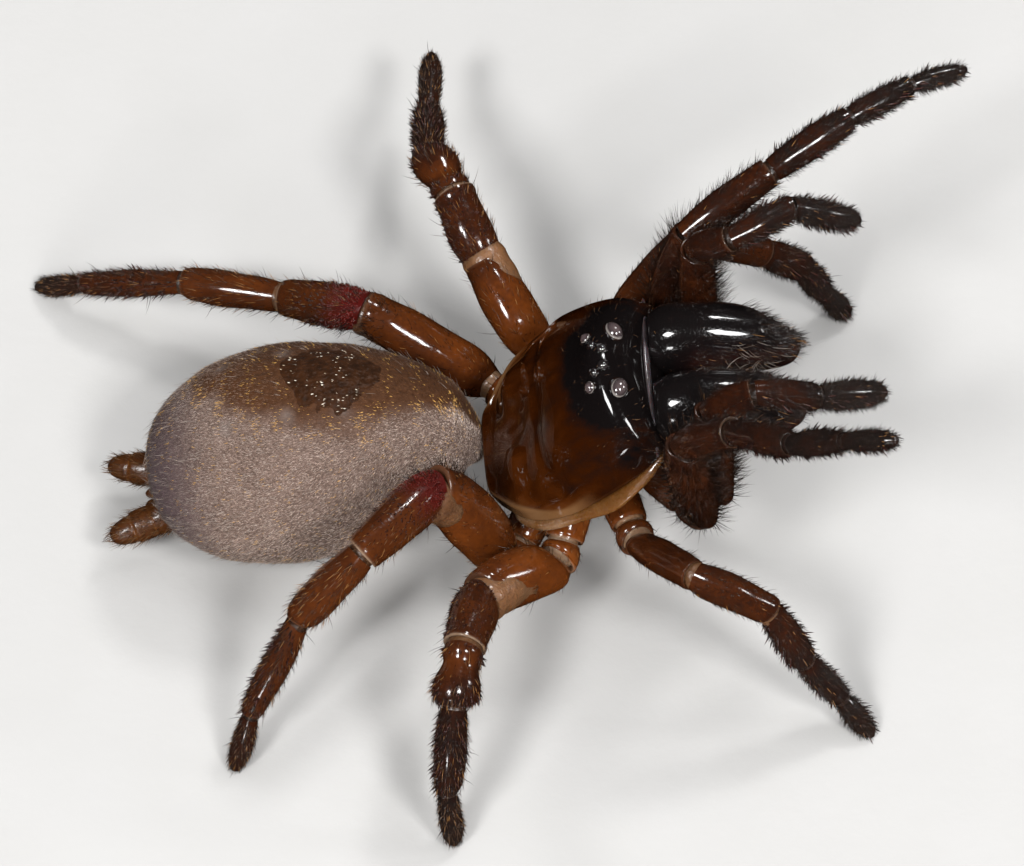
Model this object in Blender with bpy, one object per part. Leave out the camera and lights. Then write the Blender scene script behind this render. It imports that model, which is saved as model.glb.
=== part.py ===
"""Trapdoor spider, life size, standing with its head, palps and first legs raised.

Blender 4.5, metres, +Z up, head to +X, left side to +Y. Lengths below are in millimetres and angles in
degrees. The front body (carapace, sternum, chelicerae, leg roots) is laid out in its own level frame,
whose origin is the waist, and then tilted up as one piece. A limb is a chain of segments, each with a
length and the direction that it points in the stance.
"""

from math import asin, cos, degrees, pi, radians, sin, tan

import bmesh
import bpy
from mathutils import Matrix, Vector

MM = 0.001
GAP = 0.04  # between neighbouring shells
BELLY_SINK = 0.05  # how far the belly is let into the floor before it is cut flat

# Front body
CARAPACE_LENGTH = 6.0
CARAPACE_WIDTH = 5.65
MARGIN_THICKNESS = 0.3
STERNUM_DEPTH = 1.6
BODY_YAW = 3
BODY_PITCH = 41
BODY_ROLL = 2
WAIST = Vector((4.66, -0.25, 2.6))
FRONT_BODY = (
    Matrix.Translation(WAIST)
    @ Matrix.Rotation(radians(BODY_YAW), 4, "Z")
    @ Matrix.Rotation(radians(-BODY_PITCH), 4, "Y")
    @ Matrix.Rotation(radians(BODY_ROLL), 4, "X")
)
# Share of the carapace length, then share of its half width, and height of its middle line in mm
CARAPACE_OUTLINE = [(0, 0.4), (0.07, 0.6), (0.22, 0.87), (0.42, 1.0), (0.62, 1.0), (0.8, 0.95),
                    (0.93, 0.87), (1, 0.77)]
CARAPACE_RIDGE = [(0, 0.12), (0.1, 0.42), (0.22, 0.72), (0.31, 0.88), (0.4, 1.22), (0.55, 1.66),
                  (0.75, 1.9), (0.9, 1.9), (0.96, 1.72), (1, 1.25)]
EYE_HILL_HEIGHT = 0.22
EYE_HILL_PLACE = 5.5
EYE_HILL_SIZE = (0.6, 1.0)

# Eyes: place along and across the front body, radius, how much of the radius stands out
EYES = {
    "eye_front_side": (5.86, 0.86, 0.27, 0.75),
    "eye_front_middle": (5.72, 0.25, 0.14, 0.7),
    "eye_back_middle": (5.47, 0.42, 0.12, 0.7),
    "eye_back_side": (5.22, 0.74, 0.17, 0.75),
}

# Abdomen
ABDOMEN_LENGTH = 9.1
ABDOMEN_RADIUS = 3.08
ABDOMEN_FLATTENING = 0.9
ABDOMEN_CENTRE = (0.0, -0.1)
ABDOMEN_PITCH = 8
ABDOMEN_YAW = 6

# Chelicerae
CHELICERA_ROOT = (5.75, 1.06, 0.1)
CHELICERA_LENGTH = 4.1
CHELICERA_PITCH = -42
CHELICERA_TOE_IN = 2
# Share of the length, half width, half height
CHELICERA_SECTIONS = [(0, 0.72, 0.85), (0.1, 0.94, 1.15), (0.3, 1.0, 1.32), (0.55, 0.96, 1.2),
                      (0.78, 0.82, 0.92), (0.93, 0.58, 0.6), (1, 0.32, 0.34)]

# Limbs. Segment lengths run from femur to tarsus. The half heights start with the coxa's.
LIMB_SHAPES = {
    "leg_1": {"lengths": (3.9, 2.75, 2.6, 1.95, 1.5), "half_heights": (0.56, 0.62, 0.5, 0.44, 0.34, 0.27)},
    "leg_2": {"lengths": (3.3, 2.45, 2.1, 1.8, 1.35), "half_heights": (0.54, 0.56, 0.52, 0.45, 0.35, 0.29)},
    "leg_3": {"lengths": (3.0, 2.05, 1.6, 2.45, 1.85), "half_heights": (0.58, 0.8, 0.68, 0.66, 0.45, 0.32)},
    "leg_4": {"lengths": (4.2, 2.95, 2.9, 3.0, 1.7), "half_heights": (0.56, 0.84, 0.66, 0.54, 0.39, 0.29)},
    "palp": {"lengths": (3.7, 1.5, 1.85, 2.15), "half_heights": (0.5, 0.52, 0.48, 0.42, 0.37)},
}
# Where each coxa leaves the sternum and where it meets the femur, on the left side of the front body
COXAE = {
    "palp": ((4.8, 1.0, -1.75), (5.7, 2.45, -2.6)),
    "leg_1": ((4.0, 1.1, -1.5), (4.65, 3.2, -2.2)),
    "leg_2": ((3.0, 1.2, -1.35), (3.45, 3.4, -1.8)),
    "leg_3": ((2.05, 1.1, -1.25), (1.05, 3.2, -1.3)),
    "leg_4": ((1.15, 0.9, -1.15), (-0.3, 2.65, -0.95)),
}
# A femur that starts elsewhere than its mirror twin, because its coxa is swung
SWUNG_COXAE = {"leg_1_right": (0.6, 0.2, -0.1)}
# Heading (0 is forward, 90 is left) and rise of each segment, from femur to tarsus.
# A foot on the floor has no rise of its own for the tarsus: it is worked out.
STANCE = {
    "leg_1_left": [(24, 79), (32, 21), (34, 9), (31, 1), (22, -6)],
    "leg_1_right": [(-160, 82), (-35, 56), (-44, 41), (-26, 41), (-19, 31)],
    "leg_2_left": [(35, 44), (8, -34), (23, -52), (24, -70), (0, None)],
    "leg_2_right": [(-56, 39), (-9, -33), (-31, -57), (-18, -54), (-36, None)],
    "leg_3_left": [(122, 20), (116, 20), (115, -9), (91, -27), (88, -8)],
    "leg_3_right": [(-139, 27), (-104, 17), (-100, -20), (-97, -50), (-72, None)],
    "leg_4_left": [(161, 29), (152, -27), (165, -9), (169, -19), (158, None)],
    "leg_4_right": [(180, 62), (-132, 8), (-155, -50), (-127, -44), (-117, None)],
    "palp_left": [(120, 83), (-24, 50), (31, 0), (10, -32)],
    "palp_right": [(130, 84), (0, 44), (10, -23), (22, -27)],
}
FOOT_HEIGHT = 0.01  # of the middle of a standing tarsus's end

# Share of a segment's length and share of its half height, between its two joints
SEGMENT_SECTIONS = {
    "coxa": [(0.4, 1.0), (0.66, 1.0), (0.74, 0.84), (0.87, 0.97)],
    "femur": [(0.14, 0.9), (0.42, 1.0), (0.78, 0.94)],
    "patella": [(0.2, 0.96), (0.5, 1.0), (0.84, 0.86)],
    "tibia": [(0.15, 0.88), (0.55, 1.0), (0.88, 0.88)],
    "metatarsus": [(0.12, 0.9), (0.5, 1.0), (0.88, 0.84)],
    "tarsus": [(0.14, 0.9), (0.55, 1.0), (0.86, 0.82), (1.0, 0.42)],
}
SADDLED_TIBIA = [(0.12, 0.86), (0.3, 0.8), (0.62, 1.0), (0.88, 0.96)]  # the third leg's
SEGMENT_WIDTH = {"coxa": 1, "femur": 0.84, "patella": 0.92, "tibia": 0.92, "metatarsus": 0.96, "tarsus": 0.96}
JOINT_SHARE = 0.82  # of the thinner neighbour's half height
LIMB_SIDES = 10


def smooth_between(table, x):
    """The value at x of a smooth curve through the table's (x, value) pairs."""
    if x <= table[0][0]:
        return table[0][1]
    for i in range(len(table) - 1):
        (x0, y0), (x1, y1) = table[i], table[i + 1]
        if x > x1:
            continue
        before, after = table[max(i - 1, 0)], table[min(i + 2, len(table) - 1)]
        slope0 = (y1 - before[1]) / (x1 - before[0])
        slope1 = (after[1] - y0) / (after[0] - x0)
        width = x1 - x0
        t = (x - x0) / width
        return (
            (2 * t**3 - 3 * t**2 + 1) * y0
            + (t**3 - 2 * t**2 + t) * width * slope0
            + (3 * t**2 - 2 * t**3) * y1
            + (t**3 - t**2) * width * slope1
        )
    return table[-1][1]


def heading(azimuth, rise):
    a, e = radians(azimuth), radians(rise)
    return Vector((cos(e) * cos(a), cos(e) * sin(a), sin(e)))


def material(name, colour, roughness):
    made = bpy.data.materials.new(name)
    made.use_nodes = True
    shader = made.node_tree.nodes["Principled BSDF"]
    shader.inputs["Base Color"].default_value = (*colour, 1)
    shader.inputs["Roughness"].default_value = roughness
    shader.inputs["Metallic"].default_value = 0
    return made


def add_object(name, bm, colour, roughness=0.3):
    """The mesh, laid out in millimetres, as one object in metres."""
    bm.transform(Matrix.Scale(MM, 4))
    bmesh.ops.recalc_face_normals(bm, faces=bm.faces)
    mesh = bpy.data.meshes.new(name)
    bm.to_mesh(mesh)
    bm.free()
    mesh.shade_smooth()
    made = bpy.data.objects.new(name, mesh)
    made.data.materials.append(material(name, colour, roughness))
    bpy.context.scene.collection.objects.link(made)
    return made


def skin_rings(rings):
    """A closed mesh through rings of points, each the same number, with flat ends."""
    bm = bmesh.new()
    rows = [[bm.verts.new(p) for p in ring] for ring in rings]
    count = len(rows[0])
    for a, b in zip(rows, rows[1:]):
        for i in range(count):
            j = (i + 1) % count
            bm.faces.new((a[i], a[j], b[j], b[i]))
    bm.faces.new(rows[0][::-1])
    bm.faces.new(rows[-1])
    return bm


def oval(centre, side, up, half_width, half_height, count):
    turns = [2 * pi * i / count for i in range(count)]
    return [centre + side * (half_width * cos(a)) + up * (half_height * sin(a)) for a in turns]


def round_tube(stations, up, count):
    """A closed tube through (point, direction, half width, half height) stations. Its up turns with it."""
    rings, before = [], stations[0][1].normalized()
    for point, direction, half_width, half_height in stations:
        direction = direction.normalized()
        up = before.rotation_difference(direction) @ up
        up = (up - direction * up.dot(direction)).normalized()
        before = direction
        rings.append(oval(point, direction.cross(up), up, half_width, half_height, count))
    return skin_rings(rings)


def cut_flat_at_floor(bm):
    """Cuts away what is below z = 0, in millimetres, and closes the cut with a flat face."""
    geometry = bm.verts[:] + bm.edges[:] + bm.faces[:]
    cut = bmesh.ops.bisect_plane(
        bm, geom=geometry, dist=1e-6, plane_co=(0, 0, 0), plane_no=(0, 0, 1), clear_inner=True
    )
    edges = [e for e in cut["geom_cut"] if isinstance(e, bmesh.types.BMEdge)]
    if edges:
        bmesh.ops.holes_fill(bm, edges=edges, sides=0)


def swollen(obj, by):
    """A hidden copy of obj, larger by that many millimetres all round, for cutting its neighbours."""
    cutter = obj.copy()
    cutter.modifiers.clear()
    cutter.data = obj.data.copy()
    cutter.name = obj.name + "_cutter"
    bpy.context.scene.collection.objects.link(cutter)
    cutter.data.materials.clear()
    normals = [v.normal.copy() for v in cutter.data.vertices]
    for vertex, normal in zip(cutter.data.vertices, normals):
        vertex.co += normal * (by * MM)
    cutter.hide_render = True
    cutter.display_type = "WIRE"
    return cutter


def keep_clear(obj, cutters):
    for cutter in cutters:
        cut = obj.modifiers.new(cutter.name, "BOOLEAN")
        cut.operation = "DIFFERENCE"
        cut.solver = "EXACT"
        cut.object = cutter


def carapace_half_width(x):
    return CARAPACE_WIDTH / 2 * smooth_between(CARAPACE_OUTLINE, x / CARAPACE_LENGTH)


def carapace_height(x, y):
    """Height of the carapace above its margin, in the front body's frame."""
    across = min(abs(y) / carapace_half_width(x), 1)
    dome = smooth_between(CARAPACE_RIDGE, x / CARAPACE_LENGTH) * (1 - across**2) ** 0.5
    away = ((x - EYE_HILL_PLACE) / EYE_HILL_SIZE[0]) ** 2 + (y / EYE_HILL_SIZE[1]) ** 2
    return dome + EYE_HILL_HEIGHT * 2.718 ** -away


def make_carapace():
    stations = [0, 0.03, 0.1, 0.2, 0.31, 0.42, 0.54, 0.66, 0.77, 0.86, 0.92, 0.965, 1]
    arc, rings = 14, []
    for share in stations:
        x = share * CARAPACE_LENGTH
        half = carapace_half_width(x)
        ys = [half * cos(pi * i / arc) for i in range(arc + 1)]
        ring = [Vector((x, y, carapace_height(x, y))) for y in ys]
        ring += [Vector((x, half * k, -MARGIN_THICKNESS)) for k in (-0.93, 0, 0.93)]
        rings.append([FRONT_BODY @ p for p in ring])
    return add_object("carapace", skin_rings(rings), (0.09, 0.03, 0.012), 0.16)


def make_eye(name, place, side):
    along, across, radius, out = place
    across *= side
    height = carapace_height(along, across)
    step = 0.02
    slope_x = (carapace_height(along + step, across) - carapace_height(along - step, across)) / (2 * step)
    slope_y = (carapace_height(along, across + step) - carapace_height(along, across - step)) / (2 * step)
    normal = Vector((-slope_x, -slope_y, 1)).normalized()
    centre = Vector((along, across, height)) + normal * radius * (out - 1)
    bm = bmesh.new()
    bmesh.ops.create_icosphere(bm, subdivisions=2, radius=radius, matrix=Matrix.Translation(FRONT_BODY @ centre))
    return add_object(name, bm, (0.35, 0.32, 0.3), 0.05)


def make_sternum():
    """The floor of the front body: an oval block with the lip (labium) at its front."""
    top, bottom = -MARGIN_THICKNESS - GAP, -MARGIN_THICKNESS - STERNUM_DEPTH
    # x, half width, how far the underside is below the top as a share of the full depth
    sections = [(0.45, 0.5, 0.55), (0.75, 1.0, 0.85), (1.4, 1.45, 0.97), (2.6, 1.65, 1.0),
                (3.8, 1.45, 1.0), (4.6, 1.05, 0.98), (5.15, 0.7, 0.85), (5.35, 0.45, 0.6)]
    rings = []
    for x, half, depth in sections:
        low = top + (bottom - top) * depth
        mid, tall = (top + low) / 2, (top - low) / 2
        ring = []
        for i in range(12):
            a = 2 * pi * i / 12
            ring.append(FRONT_BODY @ Vector((x, half * cos(a), mid + tall * max(-1, min(1, 1.3 * sin(a))))))
        rings.append(ring)
    return add_object("sternum", skin_rings(rings), (0.16, 0.07, 0.03), 0.35)


def make_abdomen():
    axis = heading(ABDOMEN_YAW, ABDOMEN_PITCH)
    count, shares = 22, [0.004, 0.03, 0.08, 0.16, 0.26, 0.38, 0.5, 0.62, 0.73, 0.83, 0.91, 0.965, 0.995]
    radii = [ABDOMEN_RADIUS * sin(pi * s**0.8) ** 0.48 for s in shares]
    centre = Vector((*ABDOMEN_CENTRE, 0))
    stations = [
        (centre + axis * (s - 0.5) * ABDOMEN_LENGTH, axis, r, r * ABDOMEN_FLATTENING)
        for s, r in zip(shares, radii)
    ]
    bm = round_tube(stations, Vector((0, 0, 1)), count)
    bm.transform(Matrix.Translation((0, 0, -BELLY_SINK - min(v.co.z for v in bm.verts))))
    cut_flat_at_floor(bm)
    return add_object("abdomen", bm, (0.2, 0.15, 0.12), 0.8)


def make_pedicel():
    start, end = Vector((3.6, 0.25, 2.5)), FRONT_BODY @ Vector((1.2, 0, -0.95))
    along = end - start
    stations = [(start + along * t, along, 0.42, 0.42) for t in (0, 0.5, 1)]
    return add_object("pedicel", round_tube(stations, Vector((0, 0, 1)), 12), (0.3, 0.17, 0.08), 0.4)


def make_spinneret(side):
    name = "spinneret_left" if side > 0 else "spinneret_right"
    root = Vector((-3.6, -0.55 + 0.55 * side, 1.35))
    along = heading(186 - 16 * side, -8)
    sections = [(0, 0.46), (0.4, 0.48), (0.66, 0.44), (0.7, 0.36), (0.9, 0.31), (1, 0.16)]
    stations = [(root + along * 2.1 * s, along, r, r) for s, r in sections]
    return add_object(name, round_tube(stations, Vector((0, 0, 1)), 10), (0.32, 0.17, 0.06), 0.3)


def make_chelicera(side):
    name = "chelicera_left" if side > 0 else "chelicera_right"
    x, y, z = CHELICERA_ROOT
    turn = FRONT_BODY.to_3x3()
    along = turn @ heading(-CHELICERA_TOE_IN * side, CHELICERA_PITCH)
    root = FRONT_BODY @ Vector((x, y * side, z))
    stations = [(root + along * CHELICERA_LENGTH * s, along, w, h) for s, w, h in CHELICERA_SECTIONS]
    bm = round_tube(stations, turn @ Vector((0, 0, 1)), 18)
    return add_object(name, bm, (0.012, 0.008, 0.008), 0.1)


def make_fang(side):
    """The fang, folded back under its chelicera."""
    name = "fang_left" if side > 0 else "fang_right"
    x, y, z = CHELICERA_ROOT
    turn = FRONT_BODY.to_3x3()
    along = turn @ heading(-CHELICERA_TOE_IN * side, CHELICERA_PITCH)
    down = -(turn @ heading(0, CHELICERA_PITCH + 90))
    root = FRONT_BODY @ Vector((x, y * side, z))
    # Share of the chelicera's length, distance below its middle line, radius
    path = [(0.98, 0.5, 0.2), (0.93, 0.9, 0.26), (0.8, 1.2, 0.24), (0.62, 1.38, 0.19), (0.45, 1.42, 0.12),
            (0.33, 1.38, 0.06)]
    points = [root + along * CHELICERA_LENGTH * s + down * d for s, d, _ in path]
    stations = []
    for i, (point, (_, _, r)) in enumerate(zip(points, path)):
        way = points[min(i + 1, len(points) - 1)] - points[max(i - 1, 0)]
        stations.append((point, way, r, r))
    return add_object(name, round_tube(stations, turn @ Vector((0, 1, 0)), 8), (0.02, 0.006, 0.004), 0.12)


def limb_joints(name, kind, side):
    """The points from the sternum to the limb's tip."""
    start, root = (Vector((x, y * side, z)) for x, y, z in COXAE[kind])
    root += Vector(SWUNG_COXAE.get(name, (0, 0, 0)))
    points = [FRONT_BODY @ start, FRONT_BODY @ root]
    for length, (azimuth, rise) in zip(LIMB_SHAPES[kind]["lengths"], STANCE[name]):
        if rise is None:
            rise = -degrees(asin(min(1, max(-1, (points[-1].z - FOOT_HEIGHT) / length))))
        points.append(points[-1] + heading(azimuth, rise) * length)
    return points


def make_limb(name, kind, side):
    """Coxa to tarsus as one solid, waisted at each joint."""
    points, heights = limb_joints(name, kind, side), LIMB_SHAPES[kind]["half_heights"]
    segments = ["coxa", "femur", "patella", "tibia", "metatarsus", "tarsus"]
    if kind == "palp":
        segments.remove("metatarsus")
    ways = [(b - a).normalized() for a, b in zip(points, points[1:])]
    stations = [(points[0], ways[0], heights[0] * 0.9, heights[0] * 0.9)]
    for i, segment in enumerate(segments):
        length = (points[i + 1] - points[i]).length
        nearest, furthest = 0, length
        if i > 0:
            nearest = heights[i] * tan(ways[i].angle(ways[i - 1]) / 2) + 0.05
        if i + 1 < len(ways):
            furthest = length - heights[i] * tan(ways[i].angle(ways[i + 1]) / 2) - 0.05
        saddled = kind == "leg_3" and segment == "tibia"
        for share, girth in SADDLED_TIBIA if saddled else SEGMENT_SECTIONS[segment]:
            # A section crowded by a sharp bend closes up towards the segment's middle
            place = nearest + (furthest - nearest) * share
            height = heights[i] * girth
            stations.append((points[i] + ways[i] * place, ways[i], height * SEGMENT_WIDTH[segment], height))
        if i + 1 < len(segments):
            height = JOINT_SHARE * min(heights[i], heights[i + 1])
            stations.append((points[i + 1], ways[i] + ways[i + 1], height * 0.92, height))
    bm = round_tube(stations, FRONT_BODY.to_3x3() @ Vector((0, 0, 1)), LIMB_SIDES)
    cut_flat_at_floor(bm)
    return add_object(name, bm, (0.1, 0.035, 0.015), 0.2)


def stand_at_origin(objects):
    """Moves everything so that the middle of its box is above the origin."""
    corners = [v.co for o in objects for v in o.data.vertices]
    low = [min(c[i] for c in corners) for i in (0, 1)]
    high = [max(c[i] for c in corners) for i in (0, 1)]
    shift = Matrix.Translation((-(low[0] + high[0]) / 2, -(low[1] + high[1]) / 2, 0))
    print("moved by", [round(x / MM, 3) for x in shift.translation])
    for mesh in {o.data for o in bpy.data.objects}:
        mesh.transform(shift)


def main():
    for old in list(bpy.data.objects):
        bpy.data.objects.remove(old)
    carapace, sternum, abdomen = make_carapace(), make_sternum(), make_abdomen()
    parts = [carapace, sternum, abdomen]
    eyes = [
        make_eye(name + end, place, side)
        for name, place in EYES.items()
        for side, end in ((1, "_left"), (-1, "_right"))
    ]
    keep_clear(carapace, [swollen(eye, GAP) for eye in eyes])
    near_carapace, near_sternum, near_abdomen = (swollen(o, GAP) for o in (carapace, sternum, abdomen))
    pedicel = make_pedicel()
    keep_clear(pedicel, [near_carapace, near_sternum, near_abdomen])
    parts += [*eyes, pedicel]
    for side, end in ((1, "_left"), (-1, "_right")):
        chelicera, fang = make_chelicera(side), make_fang(side)
        keep_clear(chelicera, [near_carapace, near_sternum])
        keep_clear(fang, [swollen(chelicera, GAP)])
        palp = make_limb("palp" + end, "palp", side)
        keep_clear(palp, [near_sternum, swollen(chelicera, GAP)])
        neighbour = palp
        spinneret = make_spinneret(side)
        keep_clear(spinneret, [near_abdomen])
        parts += [chelicera, fang, palp, spinneret]
        for kind in ("leg_1", "leg_2", "leg_3", "leg_4"):
            leg = make_limb(kind + end, kind, side)
            keep_clear(leg, [near_sternum, swollen(neighbour, GAP)])
            parts.append(leg)
            neighbour = leg
    stand_at_origin(parts)


main()
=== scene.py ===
"""Looks of the trapdoor spider: shells, soft skin, membranes, lenses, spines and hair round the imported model.

Blender 4.5. Shapes are worked out in millimetres in the row frame (head to +X, the spider's left to +Y, up
to +Z) and become metres when a piece is made. Angles are in degrees. The driving sizes are the ones that
the solids were built from, so each piece lies where its solid lies. A Sheet is a grid of surface points
with its normals; shells are sheets, and spines and hairs are rooted on them.
"""

from collections import namedtuple
from math import asin, cos, degrees, pi, radians, sin, tan

import bpy
import numpy as np
from mathutils import Matrix, Vector


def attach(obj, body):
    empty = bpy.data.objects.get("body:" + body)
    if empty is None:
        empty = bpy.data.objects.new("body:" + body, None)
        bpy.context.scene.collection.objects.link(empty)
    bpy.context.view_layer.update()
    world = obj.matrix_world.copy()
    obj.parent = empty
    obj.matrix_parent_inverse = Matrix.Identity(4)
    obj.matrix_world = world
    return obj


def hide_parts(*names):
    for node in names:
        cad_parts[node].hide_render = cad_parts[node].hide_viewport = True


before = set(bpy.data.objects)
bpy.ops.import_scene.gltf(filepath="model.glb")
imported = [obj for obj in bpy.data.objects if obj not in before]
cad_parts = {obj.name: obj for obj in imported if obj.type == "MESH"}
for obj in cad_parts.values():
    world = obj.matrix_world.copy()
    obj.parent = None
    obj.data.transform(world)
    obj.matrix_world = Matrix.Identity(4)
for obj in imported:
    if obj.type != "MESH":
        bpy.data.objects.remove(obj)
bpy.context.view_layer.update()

MM = 0.001
SEED = 11
SIDES = ((1, "_left"), (-1, "_right"))
# Where each part's random draws start, so that a change to one leaves the others as they are
DRAWS = {"pile": 100, "fringe": 110, "painted_glints": 120, "spinneret": 130, "sternum": 140, "carapace": 145,
         "chelicera": 150, "limb": 200}

# Camera: what it looks at, how far away it is, how high it stands, and its lens
VIEW_TARGET = Vector((0.515, -0.631, 2.909))
VIEW_DISTANCE = 230
VIEW_ELEVATION = 60
VIEW_LENS = 299.5

# Front body
STAND_SHIFT = np.array((-4.804, -0.958, 0.0))  # brings the middle of the whole spider's box to the origin
CARAPACE_LENGTH = 6.0
CARAPACE_WIDTH = 5.65
MARGIN_THICKNESS = 0.3
STERNUM_DEPTH = 1.6
GAP = 0.04
BODY_YAW = 3
BODY_PITCH = 41
BODY_ROLL = 2
WAIST = np.array((4.66, -0.25, 2.6)) + STAND_SHIFT
FRONT_TURN = np.array(
    Matrix.Rotation(radians(BODY_YAW), 3, "Z")
    @ Matrix.Rotation(radians(-BODY_PITCH), 3, "Y")
    @ Matrix.Rotation(radians(BODY_ROLL), 3, "X")
)
CARAPACE_OUTLINE = [(0, 0.4), (0.07, 0.6), (0.22, 0.87), (0.42, 1.0), (0.62, 1.0), (0.8, 0.95),
                    (0.93, 0.87), (1, 0.77)]
CARAPACE_RIDGE = [(0, 0.12), (0.1, 0.42), (0.22, 0.72), (0.31, 0.88), (0.4, 1.22), (0.55, 1.66),
                  (0.75, 1.9), (0.9, 1.9), (0.96, 1.72), (1, 1.25)]
EYE_HILL_HEIGHT = 0.22
EYE_HILL_PLACE = 5.5
EYE_HILL_SIZE = (0.6, 1.0)
CAPUT_BACK = 3.05  # where the high head part starts, on the middle line
# Each eye's place along and across the head, its radius, and how far out it stands
EYES = {
    "front_side": (5.86, 0.86, 0.27, 0.75),
    "front_middle": (5.72, 0.25, 0.14, 0.7),
    "back_middle": (5.47, 0.42, 0.12, 0.7),
    "back_side": (5.22, 0.74, 0.17, 0.75),
}

# Abdomen
ABDOMEN_LENGTH = 9.1
ABDOMEN_RADIUS = 3.08
ABDOMEN_FLATTENING = 0.9
ABDOMEN_CENTRE = np.array((0.0, -0.1, 2.809)) + STAND_SHIFT
ABDOMEN_PITCH = 8
ABDOMEN_YAW = 6
COAT_DEPTH = 0.07
PILE_PIECES = 4
PILE_HAIRS = 49000  # in each piece, whose spikes of four triangles stay under 200,000
BROWN_MIDDLE = 116  # the dark patch's middle line, degrees round the abdomen from its right side over its top

# Chelicerae and fangs
CHELICERA_ROOT = (5.75, 1.06, 0.1)
CHELICERA_LENGTH = 4.1
CHELICERA_PITCH = -42
CHELICERA_TOE_IN = 2
# Share of the length, half width and half height
CHELICERA_SECTIONS = [(0, 0.72, 0.85), (0.1, 0.94, 1.15), (0.3, 1.0, 1.32), (0.55, 0.96, 1.2),
                      (0.78, 0.82, 0.92), (0.93, 0.58, 0.6), (1, 0.32, 0.34)]
# Share of the chelicera's length, distance below its axis, and radius
FANG_PATH = [(0.98, 0.5, 0.2), (0.93, 0.9, 0.26), (0.8, 1.2, 0.24), (0.62, 1.38, 0.19),
             (0.45, 1.42, 0.12), (0.33, 1.38, 0.06)]

# Limbs
# Lengths of the segments from the femur on, and half heights of all of them but the trochanter
LIMB_SHAPES = {
    "leg_1": ((3.9, 2.75, 2.6, 1.95, 1.5), (0.56, 0.62, 0.5, 0.44, 0.34, 0.27)),
    "leg_2": ((3.3, 2.45, 2.1, 1.8, 1.35), (0.54, 0.56, 0.52, 0.45, 0.35, 0.29)),
    "leg_3": ((3.0, 2.05, 1.6, 2.45, 1.85), (0.58, 0.8, 0.68, 0.66, 0.45, 0.32)),
    "leg_4": ((4.2, 2.95, 2.9, 3.0, 1.7), (0.56, 0.84, 0.66, 0.54, 0.39, 0.29)),
    "palp": ((3.7, 1.5, 1.85, 2.15), (0.5, 0.52, 0.48, 0.42, 0.37)),
}
COXAE = {
    "palp": ((4.8, 1.0, -1.75), (5.7, 2.45, -2.6)),
    "leg_1": ((4.0, 1.1, -1.5), (4.65, 3.2, -2.2)),
    "leg_2": ((3.0, 1.2, -1.35), (3.45, 3.4, -1.8)),
    "leg_3": ((2.05, 1.1, -1.25), (1.05, 3.2, -1.3)),
    "leg_4": ((1.15, 0.9, -1.15), (-0.3, 2.65, -0.95)),
}
SWUNG_COXAE = {"leg_1_right": (0.6, 0.2, -0.1)}
# Azimuth and rise of each segment from the femur on. A rise of None brings the tip down to the floor
STANCE = {
    "leg_1_left": [(24, 79), (32, 21), (34, 9), (31, 1), (22, -6)],
    "leg_1_right": [(-160, 82), (-35, 56), (-44, 41), (-26, 41), (-19, 31)],
    "leg_2_left": [(35, 44), (8, -34), (23, -52), (24, -70), (0, None)],
    "leg_2_right": [(-56, 39), (-9, -33), (-31, -57), (-18, -54), (-36, None)],
    "leg_3_left": [(122, 20), (116, 20), (115, -9), (91, -27), (88, -8)],
    "leg_3_right": [(-139, 27), (-104, 17), (-100, -20), (-97, -50), (-72, None)],
    "leg_4_left": [(161, 29), (152, -27), (165, -9), (169, -19), (158, None)],
    "leg_4_right": [(180, 62), (-132, 8), (-155, -50), (-127, -44), (-117, None)],
    "palp_left": [(120, 83), (-24, 50), (31, 0), (10, -32)],
    "palp_right": [(130, 84), (0, 44), (10, -23), (22, -27)],
}
FOOT_HEIGHT = 0.01
JOINT_SHARE = 0.82
TROCHANTER_SHARE = 0.74  # of the way from the sternum to the femur, where the trochanter starts
# A segment's width as a share of its height; its girth as shares of its length and of its half height, between
# the joints; how dark the membrane after it is; how pale its far rim is; and its hairs: how many on a square
# millimetre, how long they are, and how far they stand up
Segment = namedtuple("Segment", "width girth membrane rim hairs")
SEGMENTS = {
    "coxa": Segment(1, [(0.3, 1.0), (0.7, 1.0)], 0.25, 0.4, (16, 0.35, 30)),
    "trochanter": Segment(0.95, [(0.3, 0.96), (0.7, 0.99)], 0.15, 0.5, (16, 0.32, 35)),
    "femur": Segment(0.84, [(0.14, 0.9), (0.42, 1.0), (0.78, 0.95)], 0.42, 0.12, (12, 0.4, 32)),
    "patella": Segment(0.92, [(0.2, 0.97), (0.5, 1.0), (0.84, 0.9)], 0.45, 0.7, (26, 0.36, 34)),
    "tibia": Segment(0.92, [(0.15, 0.9), (0.55, 1.0), (0.88, 0.92)], 0.8, 0.15, (48, 0.42, 34)),
    "metatarsus": Segment(0.96, [(0.12, 0.9), (0.5, 1.0), (0.88, 0.86)], 0.95, 0.05, (80, 0.4, 32)),
    "tarsus": Segment(0.96, [(0.14, 0.9), (0.55, 1.0), (0.86, 0.82)], None, 0.0, (150, 0.3, 30)),
}
SADDLED_TIBIA = [(0.12, 0.88), (0.3, 0.78), (0.62, 1.0), (0.88, 0.96)]
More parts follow.
